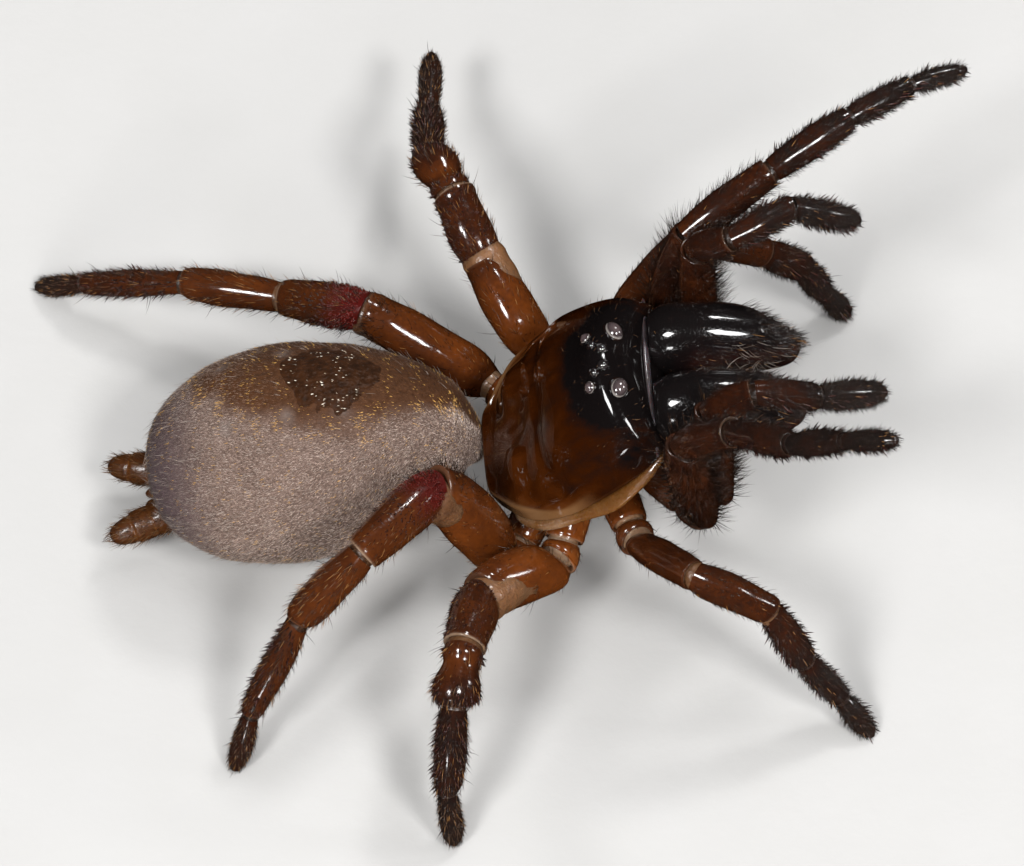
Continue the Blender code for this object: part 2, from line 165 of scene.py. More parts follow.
# How dark a limb's shell is, from 0, amber, to 1, black: at the start of each segment and at the tip
TONES = {
    "palp": (0.5, 0.66, 0.72, 0.74, 0.8, 0.96, 1.0),
    "leg_1": (0.5, 0.66, 0.76, 0.74, 0.78, 0.9, 1.0, 1.0),
    "leg_2": (0.3, 0.44, 0.58, 0.66, 0.74, 0.84, 0.95, 1.0),
    "leg_3": (0.24, 0.24, 0.26, 0.66, 0.7, 0.86, 0.9, 1.0),
    "leg_4": (0.26, 0.36, 0.42, 0.54, 0.54, 0.58, 0.8, 1.0),
}
DARKER_MEMBRANES = {"palp": 0.5, "leg_1": 0.5, "leg_4": 0.12}
BACK_LEGS = ("leg_3", "leg_4")
FRONT_LIMBS = ("palp", "leg_1", "leg_2")
HAIR_ROOT_DEPTH = 0.02
OFBAKE_PATCH_RADIUS = 0.0015


# Numbers and grids


def unit(vectors):
    return vectors / np.maximum(np.linalg.norm(vectors, axis=-1, keepdims=True), 1e-9)


def heading(azimuth, rise):
    a, e = radians(azimuth), radians(rise)
    return np.array((cos(e) * cos(a), cos(e) * sin(a), sin(e)))


def to_row(points):
    """From the front body's own frame to the row frame."""
    return np.asarray(points) @ FRONT_TURN.T + WAIST


def smooth_between(table, x):
    """Values at x of a smooth curve through the table's (x, value) pairs."""
    xs, ys = (np.array(column, float) for column in zip(*table))
    slopes = np.gradient(ys, xs)
    slopes[1:-1] = (ys[2:] - ys[:-2]) / (xs[2:] - xs[:-2])
    x = np.clip(x, xs[0], xs[-1])
    i = np.clip(np.searchsorted(xs, x, side="right") - 1, 0, len(xs) - 2)
    width = xs[i + 1] - xs[i]
    t = (x - xs[i]) / width
    return (
        (2 * t**3 - 3 * t**2 + 1) * ys[i]
        + (t**3 - 2 * t**2 + t) * width * slopes[i]
        + (3 * t**2 - 2 * t**3) * ys[i + 1]
        + (t**3 - t**2) * width * slopes[i + 1]
    )


def curves_between(table, x):
    """The same for each column of a table whose rows start with x."""
    marks, *columns = zip(*table)
    return [smooth_between(list(zip(marks, column)), x) for column in columns]


def step(low, high, x):
    """Rises smoothly from 0 at low to 1 at high."""
    t = np.clip((x - low) / (high - low), 0, 1)
    return t * t * (3 - 2 * t)


def bell(x, width):
    return np.exp(-((x / width) ** 2))


def draws(part, number=0):
    """The random draws of one part of the model, the same in each run."""
    return np.random.default_rng([SEED, DRAWS[part] + number])


def lumps(points, size, seed):
    """A gentle uneven value about -1 to 1, whose bumps are about that many millimetres across."""
    rng = np.random.default_rng([SEED, seed])
    ways = unit(rng.normal(size=(9, 3))) * rng.uniform(0.7, 1.5, (9, 1)) * (pi / size)
    return np.sin(points @ ways.T + rng.uniform(0, 2 * pi, 9)).sum(-1) / 4


def turns_of(count):
    """Angles evenly round a circle."""
    return 2 * pi * np.arange(count) / count


def eased(low, high, count):
    """Shares of a length that lie closer together towards both ends."""
    return 0.5 - 0.5 * np.cos(pi * np.linspace(low, high, count))


class Sheet:
    """A grid of surface points, along and then round, with outward normals, a lie and named values."""

    def __init__(self, grid, **values):
        self.grid = grid
        along = np.gradient(grid, axis=0)
        around = np.roll(grid, -1, axis=1) - np.roll(grid, 1, axis=1)
        normal = np.cross(around, along)
        outward = grid - grid.mean(axis=1, keepdims=True)
        self.turned = (normal * outward).sum() < 0
        self.normal = unit(-normal if self.turned else normal)
        self.along = unit(along)
        self.values = {k: np.broadcast_to(np.asarray(v, float), grid.shape[:2]) for k, v in values.items()}

    def cell_areas(self):
        nxt = np.roll(self.grid, -1, axis=1)
        return np.linalg.norm(np.cross(self.grid[1:] - self.grid[:-1], (nxt - self.grid)[:-1]), axis=-1)

    def sample(self, rng, count, weight):
        """Spots spread over the surface by weight, as a dictionary of arrays."""
        rows, columns = self.grid.shape[:2]
        cells = self.cell_areas() * np.broadcast_to(weight, self.grid.shape[:2])[:-1]
        cell = rng.choice(cells.size, int(count), p=(cells / cells.sum()).ravel())
        i, j = np.divmod(cell, columns)
        u, v = rng.random(len(cell)), rng.random(len(cell))

        def blend(grid):
            u1, v1 = (u, v) if grid.ndim == 2 else (u[:, None], v[:, None])
            k = (j + 1) % columns
            low = grid[i, j] * (1 - v1) + grid[i, k] * v1
            high = grid[i + 1, j] * (1 - v1) + grid[i + 1, k] * v1
            return low * (1 - u1) + high * u1

        spots = {"root": blend(self.grid), "normal": unit(blend(self.normal)), "along": unit(blend(self.along)),
                 "share": (i + u) / (rows - 1), "turn": (j + v) / columns}
        spots.update({k: blend(grid) for k, grid in self.values.items()})
        return spots


class Piece:
    """Gathers sheets, spines and hairs in millimetres, and becomes one object."""

    def __init__(self):
        self.points, self.faces, self.looks, self.values, self.patches = [], [], [], [], []
        self.count = 0

    def add(self, points, faces, look=0, patch=None, **values):
        """Points, and groups of faces that each have as many corners."""
        self.points.append(points)
        for group in faces:
            self.faces.append(np.asarray(group) + self.count)
            self.looks.append(np.full(len(group), look))
        self.values.append((len(points), values))
        self.patches.append(np.zeros((len(points), 2)) if patch is None else patch)
        self.count += len(points)

    def add_sheet(self, sheet, look=0, ring_shaped=False):
        """A closed form. Each end gets a cap, unless the last row is the first one over again."""
        rows, columns = sheet.grid.shape[:2]
        ring = np.arange(columns)
        i, j = (g.ravel() for g in np.meshgrid(np.arange(rows - 1), ring, indexing="ij"))
        k = (j + 1) % columns
        after = (i + 1) % (rows - 1) if ring_shaped else i + 1
        faces = [np.stack([i * columns + j, i * columns + k, after * columns + k, after * columns + j], 1)]
        grids = {"points": sheet.grid, **sheet.values}
        if ring_shaped:
            flat = {name: grid[:-1].reshape(-1, *grid.shape[2:]) for name, grid in grids.items()}
        else:
            flat = {name: np.concatenate([grid.reshape(-1, *grid.shape[2:]), [grid[0].mean(0), grid[-1].mean(0)]])
                    for name, grid in grids.items()}
            first, nxt, top = np.full(columns, rows * columns), np.roll(ring, -1), (rows - 1) * columns
            faces += [np.stack([first, nxt, ring], 1), np.stack([first + 1, top + ring, top + nxt], 1)]
        if sheet.turned:
            faces = [group[:, ::-1] for group in faces]
        self.add(faces=faces, look=look, **flat)

    def add_hairs(self, rng, spots, lie, length, radius, lift, bend=0.0, rings=1, sides=3, spread=0.15,
                  look=0, chart=(0, 1), **values):
        """Thin closed spikes. lie is the way they lean, lift their angle off the surface, bend how far the
        tip has leaned over on towards the lie, rings how many rings of points each has below its tip."""
        root, normal = spots["root"], spots["normal"]
        count = len(root)
        length = np.broadcast_to(length, count)[:, None]
        radius = np.broadcast_to(radius, count)[:, None]
        lie = unit(lie - normal * (lie * normal).sum(1, keepdims=True))
        lift = np.radians(np.broadcast_to(lift, count) * rng.uniform(0.7, 1.3, count))[:, None]
        way = unit(normal * np.sin(lift) + lie * np.cos(lift) + rng.normal(0, spread, (count, 3)))
        across = unit(np.cross(way, rng.normal(size=(count, 3))))
        other = np.cross(way, across)
        turns = turns_of(sides)
        points, patches, shares = [], [], []
        centre_uv = np.stack([0.02 + 0.96 * spots["turn"],
                              0.02 + 0.96 * (chart[0] + spots["share"]) / chart[1]], 1)
        for ring in range(rings + 1):
            s = ring / rings
            middle = root - normal * HAIR_ROOT_DEPTH + length * (
                way * s + bend * s**2 * (lie * 0.7 - normal * 0.5))
            if ring == rings:
                points.append(middle[:, None])
                patches.append(centre_uv[:, None])
                shares.append(np.ones((count, 1)))
                break
            thick = radius * (1 - 0.75 * s)
            points.append(np.stack([middle + thick * (across * cos(a) + other * sin(a)) for a in turns], 1))
            patches.append(np.stack([centre_uv + OFBAKE_PATCH_RADIUS * (1 - s) * np.array((cos(a), sin(a)))
                                     for a in turns], 1))
            shares.append(np.full((count, sides), s))
        each = rings * sides + 1
        starts = (np.arange(count) * each)[:, None, None]
        ring = np.arange(sides)
        nxt = np.roll(ring, -1)
        base = ring[::-1][None]
        walls = [np.stack([r * sides + ring, r * sides + nxt, (r + 1) * sides + nxt, (r + 1) * sides + ring], 1)
                 for r in range(rings - 1)]
        top = (rings - 1) * sides
        tips = np.stack([top + ring, top + nxt, np.full(sides, each - 1)], 1)
        groups = [base, tips] + ([np.concatenate(walls)] if walls else [])
        faces = [(starts + group[None]).reshape(-1, group.shape[1]) for group in groups]
        shown = {"tip": np.concatenate(shares, 1).ravel(), "tone": np.repeat(rng.random(count), each)}
        for name, value in values.items():
            shown[name] = np.repeat(np.broadcast_to(value, count), each)
        self.add(np.concatenate(points, 1).reshape(-1, 3), faces, look,
                 np.concatenate(patches, 1).reshape(-1, 2), **shown)

    def grow(self, rng, sheet, count, weight, length, radius, lift, **more):
        """Hairs that lie along a sheet, spread by weight, each with a length between two values."""
        spots = sheet.sample(rng, count, weight)
        self.add_hairs(rng, spots, spots["along"], rng.uniform(*length, count), radius, lift, **more)

    def make(self, name, slot, looks, replaced=(), coat=False):
        mesh = bpy.data.meshes.new(name)
        points = np.concatenate(self.points)
        points[:, 2] = np.maximum(points[:, 2], 0.0)
        mesh.vertices.add(len(points))
        mesh.vertices.foreach_set("co", (points * MM).astype(np.float32).ravel())
        corners = np.concatenate([f.ravel() for f in self.faces]).astype(np.int32)
        sizes = np.concatenate([np.full(len(f), f.shape[1]) for f in self.faces])
        mesh.loops.add(len(corners))
        mesh.loops.foreach_set("vertex_index", corners)
        mesh.polygons.add(len(sizes))
        mesh.polygons.foreach_set("loop_start", np.concatenate([[0], np.cumsum(sizes)[:-1]]).astype(np.int32))
        mesh.polygons.foreach_set("material_index", np.concatenate(self.looks).astype(np.int32))
        mesh.update(calc_edges=True)
        for value_name in sorted({n for _, values in self.values for n in values}):
            flat = [np.broadcast_to(values.get(value_name, 0.0), size) for size, values in self.values]
            attribute = mesh.attributes.new(value_name, "FLOAT", "POINT")
            attribute.data.foreach_set("value", np.concatenate(flat).astype(np.float32))
        if coat:
            uv = np.concatenate(self.patches)[corners]
            mesh.uv_layers.new(name="OFBake").data.foreach_set("uv", uv.astype(np.float32).ravel())
        mesh.shade_smooth()
        for look in looks:
            mesh.materials.append(look)
        made = bpy.data.objects.new(name, mesh)
        bpy.context.scene.collection.objects.link(made)
        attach(made, "root")
        if replaced:
            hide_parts(*replaced)
        return made


def make_shells(name, slot, look, sheets, *replaced):
    """One piece of plain closed sheets."""
    piece = Piece()
    for sheet in sheets:
        piece.add_sheet(sheet)
    piece.make(name, slot, [look], replaced)


def make_hair(name, slot, look, *hairs, **more):
    """One coat piece of hairs that lie along a sheet. The values are those of Piece.grow."""
    piece = Piece()
    piece.grow(*hairs, **more)
    piece.make(name, slot, [look], coat=True)


def tube(stations, up, sides):
    """Rings of points through (point, direction, half width, half height) stations. Up turns with the tube."""
    turns = turns_of(sides)
    rings, before = [], Vector(stations[0][1]).normalized()
    up = Vector(up)
    for point, direction, half_width, half_height in stations:
        direction = Vector(direction).normalized()
        up = before.rotation_difference(direction) @ up
        up = (up - direction * up.dot(direction)).normalized()
        before = direction
        side = np.array(direction.cross(up))
        rings.append(np.asarray(point) + np.outer(np.cos(turns) * half_width, side)
                     + np.outer(np.sin(turns) * half_height, np.array(up)))
    return np.array(rings)


def curve_tube(points, radii, sides, up=(0, 0, 1)):
    """A round tube along a path of points."""
    points = np.asarray(points, float)
    ways = np.gradient(points, axis=0)
    return tube([(p, w, r, r) for p, w, r in zip(points, ways, radii)], up, sides)


# Materials


class Look:
    """A node material, with short ways to add nodes. Sizes of patterns are in millimetres."""

    def __init__(self, name, **sockets):
        self.material = bpy.data.materials.new(name)
        self.material.use_nodes = True
        self.tree = self.material.node_tree
        self.shader = self.tree.nodes["Principled BSDF"]
        self.place = self.tree.nodes.new("ShaderNodeTexCoord").outputs["Object"]
        for socket, value in sockets.items():
            self.shader.inputs[socket.replace("_", " ")].default_value = value

    def node(self, kind, inputs, out=0, **settings):
        node = self.tree.nodes.new(kind)
        for key, value in settings.items():
            setattr(node, key, value)
        for key, value in inputs.items():
            self.feed(node.inputs[key], value)
        return node.outputs[out]

    def feed(self, socket, value):
        if isinstance(value, bpy.types.NodeSocket):
            self.tree.links.new(value, socket)
        elif socket.type == "RGBA" and len(value) == 3:
            socket.default_value = (*value, 1)
        else:
            socket.default_value = value

    def value(self, name):
        return self.node("ShaderNodeAttribute", {}, "Fac", attribute_name=name)

    def noise(self, size, detail=3.0, stretch=None):
        place = self.place
        if stretch is not None:
            place = self.node("ShaderNodeMapping", {"Vector": place, "Scale": stretch})
        return self.node("ShaderNodeTexNoise", {"Vector": place, "Scale": 1 / (size * MM), "Detail": detail})

    def cells(self, size):
        return self.node("ShaderNodeTexVoronoi", {"Vector": self.place, "Scale": 1 / (size * MM)},
                         feature="SMOOTH_F1")

    def math(self, operation, a, b):
        return self.node("ShaderNodeMath", {0: a, 1: b}, operation=operation)

    def add(self, a, b):
        return self.math("ADD", a, b)

    def times(self, a, b):
        return self.math("MULTIPLY", a, b)

    def varied(self, value, amount, pattern):
        """The value, moved up or down by up to half that amount by a pattern of 0 to 1."""
        return self.add(value, self.times(self.math("SUBTRACT", pattern, 0.5), amount))

    def between(self, value, low, high):
        return self.node("ShaderNodeMapRange", {"Value": value, "From Min": low, "From Max": high},
                         interpolation_type="SMOOTHSTEP")

    def mix(self, factor, a, b):
        return self.node("ShaderNodeMix", {0: factor, 6: a, 7: b}, 2, data_type="RGBA")

    def ramp(self, value, stops):
        node = self.tree.nodes.new("ShaderNodeValToRGB")
        marks = node.color_ramp.elements
        while len(marks) < len(stops):
            marks.new(0.5)
        for mark, (place, colour) in zip(marks, stops):
            mark.position = place
            mark.color = (*colour, 1)
        self.feed(node.inputs[0], value)
        return node.outputs[0]

    def dress(self, colour, roughness, *bumps):
        """Gives the material its colour, roughness and bumps: patterns and their full heights in millimetres."""
        normal = {}
        for pattern, height in bumps:
            inputs = {"Height": pattern, "Strength": 1.0, "Distance": height * MM, **normal}
            normal = {"Normal": self.node("ShaderNodeBump", inputs)}
        for socket, value in {"Base Color": colour, "Roughness": roughness, **normal}.items():
            self.feed(self.shader.inputs[socket], value)
        return self.material


def shell_look():
    """Glossy chestnut shell of the limbs and sternum: darker with tone, pale where rim, maroon where red."""
    look = Look("limb shell", Coat_Weight=0.8, Coat_Roughness=0.08, Specular_IOR_Level=0.15)
    tone = look.varied(look.value("tone"), 0.5, look.noise(0.9))
    tone = look.varied(tone, 0.3, look.noise(0.12, 5))
    colour = look.ramp(tone, [
        (0.0, (0.25, 0.08, 0.018)), (0.3, (0.125, 0.031, 0.005)), (0.55, (0.062, 0.016, 0.004)),
        (0.8, (0.025, 0.007, 0.003)), (1.0, (0.009, 0.006, 0.005))])
    colour = look.mix(look.value("red"), colour, (0.06, 0.004, 0.003))
    pale = look.mix(look.noise(0.12), (0.20, 0.12, 0.07), (0.38, 0.28, 0.2))
    colour = look.mix(look.times(look.value("rim"), 0.8), colour, pale)
    rough = look.varied(0.2, 0.16, look.noise(0.16, 4))
    rough = look.add(rough, look.times(look.value("red"), 0.12))
    return look.dress(colour, rough, (look.cells(0.085), 0.006), (look.noise(0.45), 0.012))


def membrane_look():
    """The soft skin in the joints: pale, with darker folds."""
    look = Look("joint membrane", Subsurface_Weight=0.35, Subsurface_Scale=0.0005,
                Subsurface_Radius=(1.0, 0.6, 0.35), Coat_Weight=0.3, Coat_Roughness=0.15)
    folds = look.noise(0.1, 4)
    tone = look.varied(look.varied(look.value("tone"), 0.35, folds), 0.3, look.noise(0.6))
    colour = look.ramp(tone, [
        (0.0, (0.36, 0.235, 0.155)), (0.35, (0.19, 0.088, 0.037)), (0.65, (0.06, 0.024, 0.011)),
        (1.0, (0.018, 0.009, 0.006))])
    return look.dress(colour, look.varied(0.3, 0.2, folds), (folds, 0.03))


def carapace_look():
    """Polished dark chestnut, black round the eyes, amber and paler towards the thorax's edge."""
    look = Look("carapace shell", Coat_Weight=1.0, Coat_Roughness=0.05, Coat_IOR=1.36, Specular_IOR_Level=0.05)
    tone = look.varied(look.value("tone"), 0.4, look.noise(0.5, 4, (1.0, 2.2, 1.0)))
    tone = look.varied(look.varied(tone, 0.5, look.noise(1.5, 2)), 0.12, look.noise(0.06, 4))
    colour = look.ramp(tone, [
        (0.0, (0.17, 0.07, 0.02)), (0.25, (0.085, 0.027, 0.007)), (0.5, (0.044, 0.0105, 0.0015)),
        (0.75, (0.022, 0.0048, 0.0006)), (1.0, (0.004, 0.003, 0.003))])
    pale = look.mix(look.noise(0.7, 3), (0.11, 0.045, 0.011), (0.23, 0.13, 0.062))
    colour = look.mix(look.times(look.value("rim"), 0.9), colour, pale)
    return look.dress(colour, look.varied(0.16, 0.14, look.noise(0.2, 4)), (look.cells(0.1), 0.006),
                      (look.noise(0.8, 5), 0.035))


def band_look():
    """The clear, faintly violet band at the head's front edge."""
    look = Look("clear band", Coat_Weight=1.0, Coat_Roughness=0.04, Subsurface_Weight=0.3, Subsurface_Scale=0.0003)
    colour = look.mix(look.noise(0.4, 4), (0.012, 0.008, 0.009), (0.085, 0.065, 0.07))
    return look.dress(colour, look.varied(0.2, 0.15, look.noise(0.2)), (look.noise(0.3, 4), 0.02))


def chelicera_look():
    """Polished black, redder in the hairy groove and at the tip."""
    look = Look("chelicera shell", Coat_Weight=1.0, Coat_Roughness=0.06, Coat_IOR=1.45, Specular_IOR_Level=0.1)
    tone = look.varied(look.value("tone"), 0.3, look.noise(0.3, 4))
    colour = look.ramp(tone, [
        (0.0, (0.1, 0.022, 0.01)), (0.4, (0.03, 0.008, 0.005)), (0.8, (0.007, 0.004, 0.004)),
        (1.0, (0.005, 0.004, 0.004))])
    return look.dress(colour, look.varied(0.2, 0.12, look.noise(0.1, 4)), (look.cells(0.07), 0.009),
                      (look.noise(0.25, 5), 0.02))


def abdomen_look():
    """Soft skin under the pile: taupe, dark brown and wet where bald, darker and purple to the rear."""
    look = Look("abdomen skin", Sheen_Weight=0.02, Sheen_Roughness=0.5, Specular_IOR_Level=0.1)
    mottle = look.varied(look.noise(0.04, 4), 0.3, look.noise(0.7, 4))
    pile = look.ramp(mottle, [
        (0.25, (0.05, 0.031, 0.024)), (0.5, (0.12, 0.08, 0.064)), (0.75, (0.25, 0.18, 0.15))])
    rear = look.mix(look.value("rear"), pile, (0.07, 0.046, 0.05))
    saddle = look.mix(look.noise(0.15, 4), (0.033, 0.0125, 0.0047), (0.09, 0.0365, 0.015))
    brown = look.mix(look.value("brown"), rear, saddle)
    pale = look.mix(look.times(look.value("pit"), 0.4), brown, (0.2, 0.17, 0.155))
    waist = look.mix(look.value("waist"), pale, (0.34, 0.2, 0.11))
    bare = look.ramp(look.noise(0.25, 4), [(0.3, (0.016, 0.0058, 0.002)), (0.7, (0.042, 0.015, 0.0052))])
    bald = look.between(look.varied(look.value("bald"), 0.5, look.noise(0.18, 4)), 0.4, 0.6)
    wet = look.math("MAXIMUM", bald, look.times(look.value("brown"), 0.6))
    rough = look.node("ShaderNodeMix", {0: wet, 2: 0.8, 3: 0.34})
    return look.dress(look.mix(bald, waist, bare), rough, (look.cells(0.11), 0.035), (look.noise(0.2, 5), 0.06))


def coat_look(name, stops, roughness, gold=(0.95, 0.55, 0.15), gloss=0.5):
    """Hair: colour by its own tone, darker at the root as painted shade down in the coat, with golden ones, and
    following the skin's markings.
    """
    look = Look(name, Specular_IOR_Level=gloss)
    # The bright value shifts a hair's tone; on the abdomen pile it also carries painted light and a painted
    # highlight streak
    tone = look.add(look.varied(look.value("tone"), 0.2, look.noise(0.9, 4)), look.value("bright"))
    brown = look.ramp(tone, [
        (0.0, (0.014, 0.005, 0.002)), (0.6, (0.08, 0.029, 0.01)), (1.0, (0.27, 0.118, 0.045))])
    colour = look.mix(look.times(look.value("rear"), 0.7), look.ramp(tone, stops), (0.085, 0.058, 0.062))
    for marking, shade in (("brown", brown), ("gold", gold), ("red", (0.135, 0.009, 0.005))):
        colour = look.mix(look.value(marking), colour, shade)
    # Painted shade: each hair darkens towards its root, where the coat shades itself
    colour = look.mix(look.between(look.value("tip"), -0.4, 0.7), (0.02, 0.012, 0.01), colour)
    return look.dress(colour, look.varied(roughness, 0.1, look.noise(0.2)))


def lens_look(name, ring, middle, depth):
    """A glassy lens: a clear pearly ring round a darker middle, placed by the dome value."""
    look = Look(name, Coat_Weight=1.0, Coat_Roughness=0.02, Coat_IOR=1.8, Specular_IOR_Level=0.8)
    dome = look.varied(look.value("dome"), 0.1, look.noise(0.12, 3))
    colour = look.ramp(dome, [
        (0.0, (0.01, 0.008, 0.008)), (0.22, depth), (0.38, ring), (0.56, depth), (0.95, middle)])
    return look.dress(colour, 0.03, (look.noise(0.2, 2), 0.002))


def amber_look():
    """The spinnerets' translucent amber skin."""
    look = Look("spinneret skin", Subsurface_Weight=0.3, Subsurface_Scale=0.0004,
                Subsurface_Radius=(1.0, 0.5, 0.2), Coat_Weight=0.2, Coat_Roughness=0.15)
    tone = look.varied(look.value("tone"), 0.5, look.noise(0.2, 4))
    colour = look.ramp(tone, [
        (0.0, (0.17, 0.062, 0.015)), (0.4, (0.08, 0.025, 0.005)), (0.8, (0.04, 0.012, 0.003))])
    return look.dress(colour, look.varied(0.32, 0.2, look.noise(0.1)), (look.noise(0.12, 4), 0.02))


def flange_look():
    """The soft yellowish edge under the carapace."""
    look = Look("side membrane", Subsurface_Weight=0.4, Subsurface_Scale=0.0006,
                Subsurface_Radius=(1.0, 0.65, 0.3), Coat_Weight=0.8, Coat_Roughness=0.08)
    tone = look.varied(look.value("tone"), 1.3, look.noise(0.3, 5))
    colour = look.ramp(tone, [
        (0.0, (0.2, 0.12, 0.07)), (0.5, (0.135, 0.058, 0.016)), (1.0, (0.1, 0.036, 0.006))])
    return look.dress(colour, look.varied(0.28, 0.2, look.noise(0.15)), (look.noise(0.25, 4), 0.03))


def floor_look():
    look = Look("studio floor")
    colour = look.mix(look.noise(4.0, 4), (0.44, 0.433, 0.42), (0.475, 0.468, 0.46))
    return look.dress(colour, 0.85, (look.noise(0.4, 4), 0.01))


# Carapace


def carapace_half_width(x):
    return CARAPACE_WIDTH / 2 * smooth_between(CARAPACE_OUTLINE, x / CARAPACE_LENGTH)


def carapace_height(x, y):
    """Height of the plain carapace above its margin, as in the solids."""
    across = np.minimum(np.abs(y) / carapace_half_width(x), 1)
    dome = smooth_between(CARAPACE_RIDGE, x / CARAPACE_LENGTH) * np.sqrt(1 - across**2)
    away = ((x - EYE_HILL_PLACE) / EYE_HILL_SIZE[0]) ** 2 + (y / EYE_HILL_SIZE[1]) ** 2
    return dome + EYE_HILL_HEIGHT * np.exp(-away)


def caput_back(y):
    """Where the groove behind the head part runs, for a distance from the middle line."""
    return CAPUT_BACK - 0.28 * np.abs(y) ** 1.2 + 0.06 * np.abs(y) ** 3


def edge_distance(x, y):
    """About how far a point of the carapace is from its outline, in the margin's plane."""
    return np.minimum((carapace_half_width(x) - np.abs(y)) * 0.85, x)


def carapace_detail(x, y):
    """Grooves, the fovea, the brim and the raised edge on the plain carapace."""
    edge = edge_distance(x, y)
    inner = step(0.2, 0.5, edge)
    thorax = step(3.6, 2.6, x)
    groove = -0.14 * bell(x - caput_back(y), 0.27) * inner
    pit = -0.12 * bell(x - (CAPUT_BACK - 0.2 + 0.3 * y**2), 0.12) * bell(y, 0.5)
    angle, far = np.arctan2(np.abs(y), CAPUT_BACK - 0.2 - x), np.hypot(y, CAPUT_BACK - 0.2 - x)
    rays = sum(bell(angle - radians(a), 0.15) for a in (24, 60, 92))
    rays = -0.06 * rays * step(0.45, 1.0, far) * inner * step(0.1, 0.5, CAPUT_BACK - x)
    brim = -0.5 * carapace_height(x, y) * thorax * bell(edge, 0.32)
    bead = (0.06 + 0.08 * thorax) * bell(edge - 0.16, 0.09)
    lobes = 0.34 * bell(np.hypot((x - 1.6) / 0.46, (np.abs(y) - 1.15) / 0.75), 1.0)
    rear = 0.14 * bell(x - 0.24, 0.16) * step(1.6, 0.8, np.abs(y))
    return groove + pit + rays + brim + bead + lobes + rear


def make_carapace(look, strip_look, hair_look):
    rows, columns, head_front = 150, 160, 4.2
    x = (eased(0.03, 0.985, rows)[:, None] * CARAPACE_LENGTH) * np.ones((1, columns))
    turn = turns_of(columns)[None]
    y = carapace_half_width(x) * np.cos(turn)
    upper = np.sin(turn) >= 0
    height = np.where(upper, carapace_height(x, y) + carapace_detail(x, y), MARGIN_THICKNESS * np.sin(turn))
    grid = np.stack([x, y, height], -1)
    # A rounded front: the last rings close in over the chelicerae
    front, middle = grid[-1], np.array((0, 0, 0.45))
    closing = []
    for scale, ahead in ((0.94, 0.05), (0.8, 0.08), (0.55, 0.09)):
        ring = middle + (front - middle) * scale
        ring[:, 0] = front[:, 0] + ahead
        closing.append(ring)
    grid = np.concatenate([grid, np.array(closing)])
    x, y = grid[..., 0], grid[..., 1]
    edge = edge_distance(np.minimum(x, CARAPACE_LENGTH), y)
    head = step(-0.12, 0.12, x - caput_back(y))
    black = step(1.75, 0.6, np.sqrt(((x - 5.65) / 1.05) ** 2 + (y / 1.5) ** 2))
    tone = 0.68 + 0.08 * head + 0.14 * bell(x - caput_back(y), 0.25)
    tone = tone + (1.35 - tone) * np.maximum(black, 0.4 * step(4.8, 5.8, x))
    wide = 0.08 + 0.26 * bell(x - 1.0, 1.0)
    tone = tone - 0.25 * step(2.4 * wide, wide, edge) * step(4.2, 3.2, x) * step(0.2, 0.8, x)
    pale = step(wide, 0.6 * wide, edge) * step(3.9, 2.6, x) * (0.3 + 0.7 * step(0.0, 0.35, x))
    shell = Sheet(to_row(grid), tone=tone, rim=pale * 0.75)
    piece = Piece()
    piece.add_sheet(shell)
    for place in EYES.values():
        for side, _ in SIDES:
            centre, normal, radius = eye_place(place, side)
            rim_ring = ring_tube(centre + normal * radius * 0.18, normal, radius, 0.04)
            piece.add_sheet(Sheet(rim_ring, tone=1.0), ring_shaped=True)
    piece.make("carapace_shell", "carapace", [look], ["carapace"])
    make_shells("clypeus_strip", "carapace", strip_look, [clypeus_strip()])
    ahead = shell.grid @ FRONT_TURN[:, 0] - (to_row((head_front, 0, 0)) @ FRONT_TURN[:, 0])
    weight = (0.12 + step(-0.15, 0.15, ahead)) * (shell.normal[..., 2] > 0.2) + 1e-6
    make_hair("carapace_hair", "carapace", hair_look, draws("carapace"), shell, 150, weight, (0.1, 0.28), 0.007,
              60, bend=0.2, rings=2)


def ring_tube(centre, axis, radius, thickness, sides=36, around=8):
    """A closed ring laid flat round an axis, as a grid whose first row meets its last."""
    axis = Vector(axis)
    across = axis.orthogonal().normalized()
    other = np.array(axis.cross(across))
    across = np.array(across)
    small = turns_of(around)[:, None]
    level, raised = radius + thickness * np.cos(small), np.array(axis) * thickness * np.sin(small)
    outs = [across * cos(a) + other * sin(a) for a in np.linspace(0, 2 * pi, sides)]
    return np.array([centre + out * level + raised for out in outs])


def clypeus_strip():
    """The clear whitish band along the front edge of the head, over the chelicerae."""
    y = np.linspace(-2.42, 2.42, 90)
    across = np.abs(y) / 2.42
    x = CARAPACE_LENGTH + 0.1 - 0.3 * across**3
    z = 0.02 + 0.5 * (1 - across**2.2)
    path = to_row(np.stack([x, y, z], 1))
    taper = 0.35 + 0.65 * np.sqrt(1 - across**4)
    up = FRONT_TURN @ np.array((0.35, 0, 1.0))
    ways = np.gradient(path, axis=0)
    grid = tube([(p, w, 0.07 * t, 0.15 * t) for p, w, t in zip(path, ways, taper)], up, 16)
    return Sheet(grid, tone=0.0)


def eye_place(place, side):
    """Centre, outward normal and radius of one lens, in the row frame."""
    along, across, radius, out = place
    across *= side
    h = 0.02
    slope_x = (carapace_height(along + h, across) - carapace_height(along - h, across)) / (2 * h)
    slope_y = (carapace_height(along, across + h) - carapace_height(along, across - h)) / (2 * h)
    normal = unit(np.array((-slope_x, -slope_y, 1.0)))
    centre = np.array((along, across, carapace_height(along, across))) + normal * radius * (out - 1)
    return to_row(centre), FRONT_TURN @ normal, radius


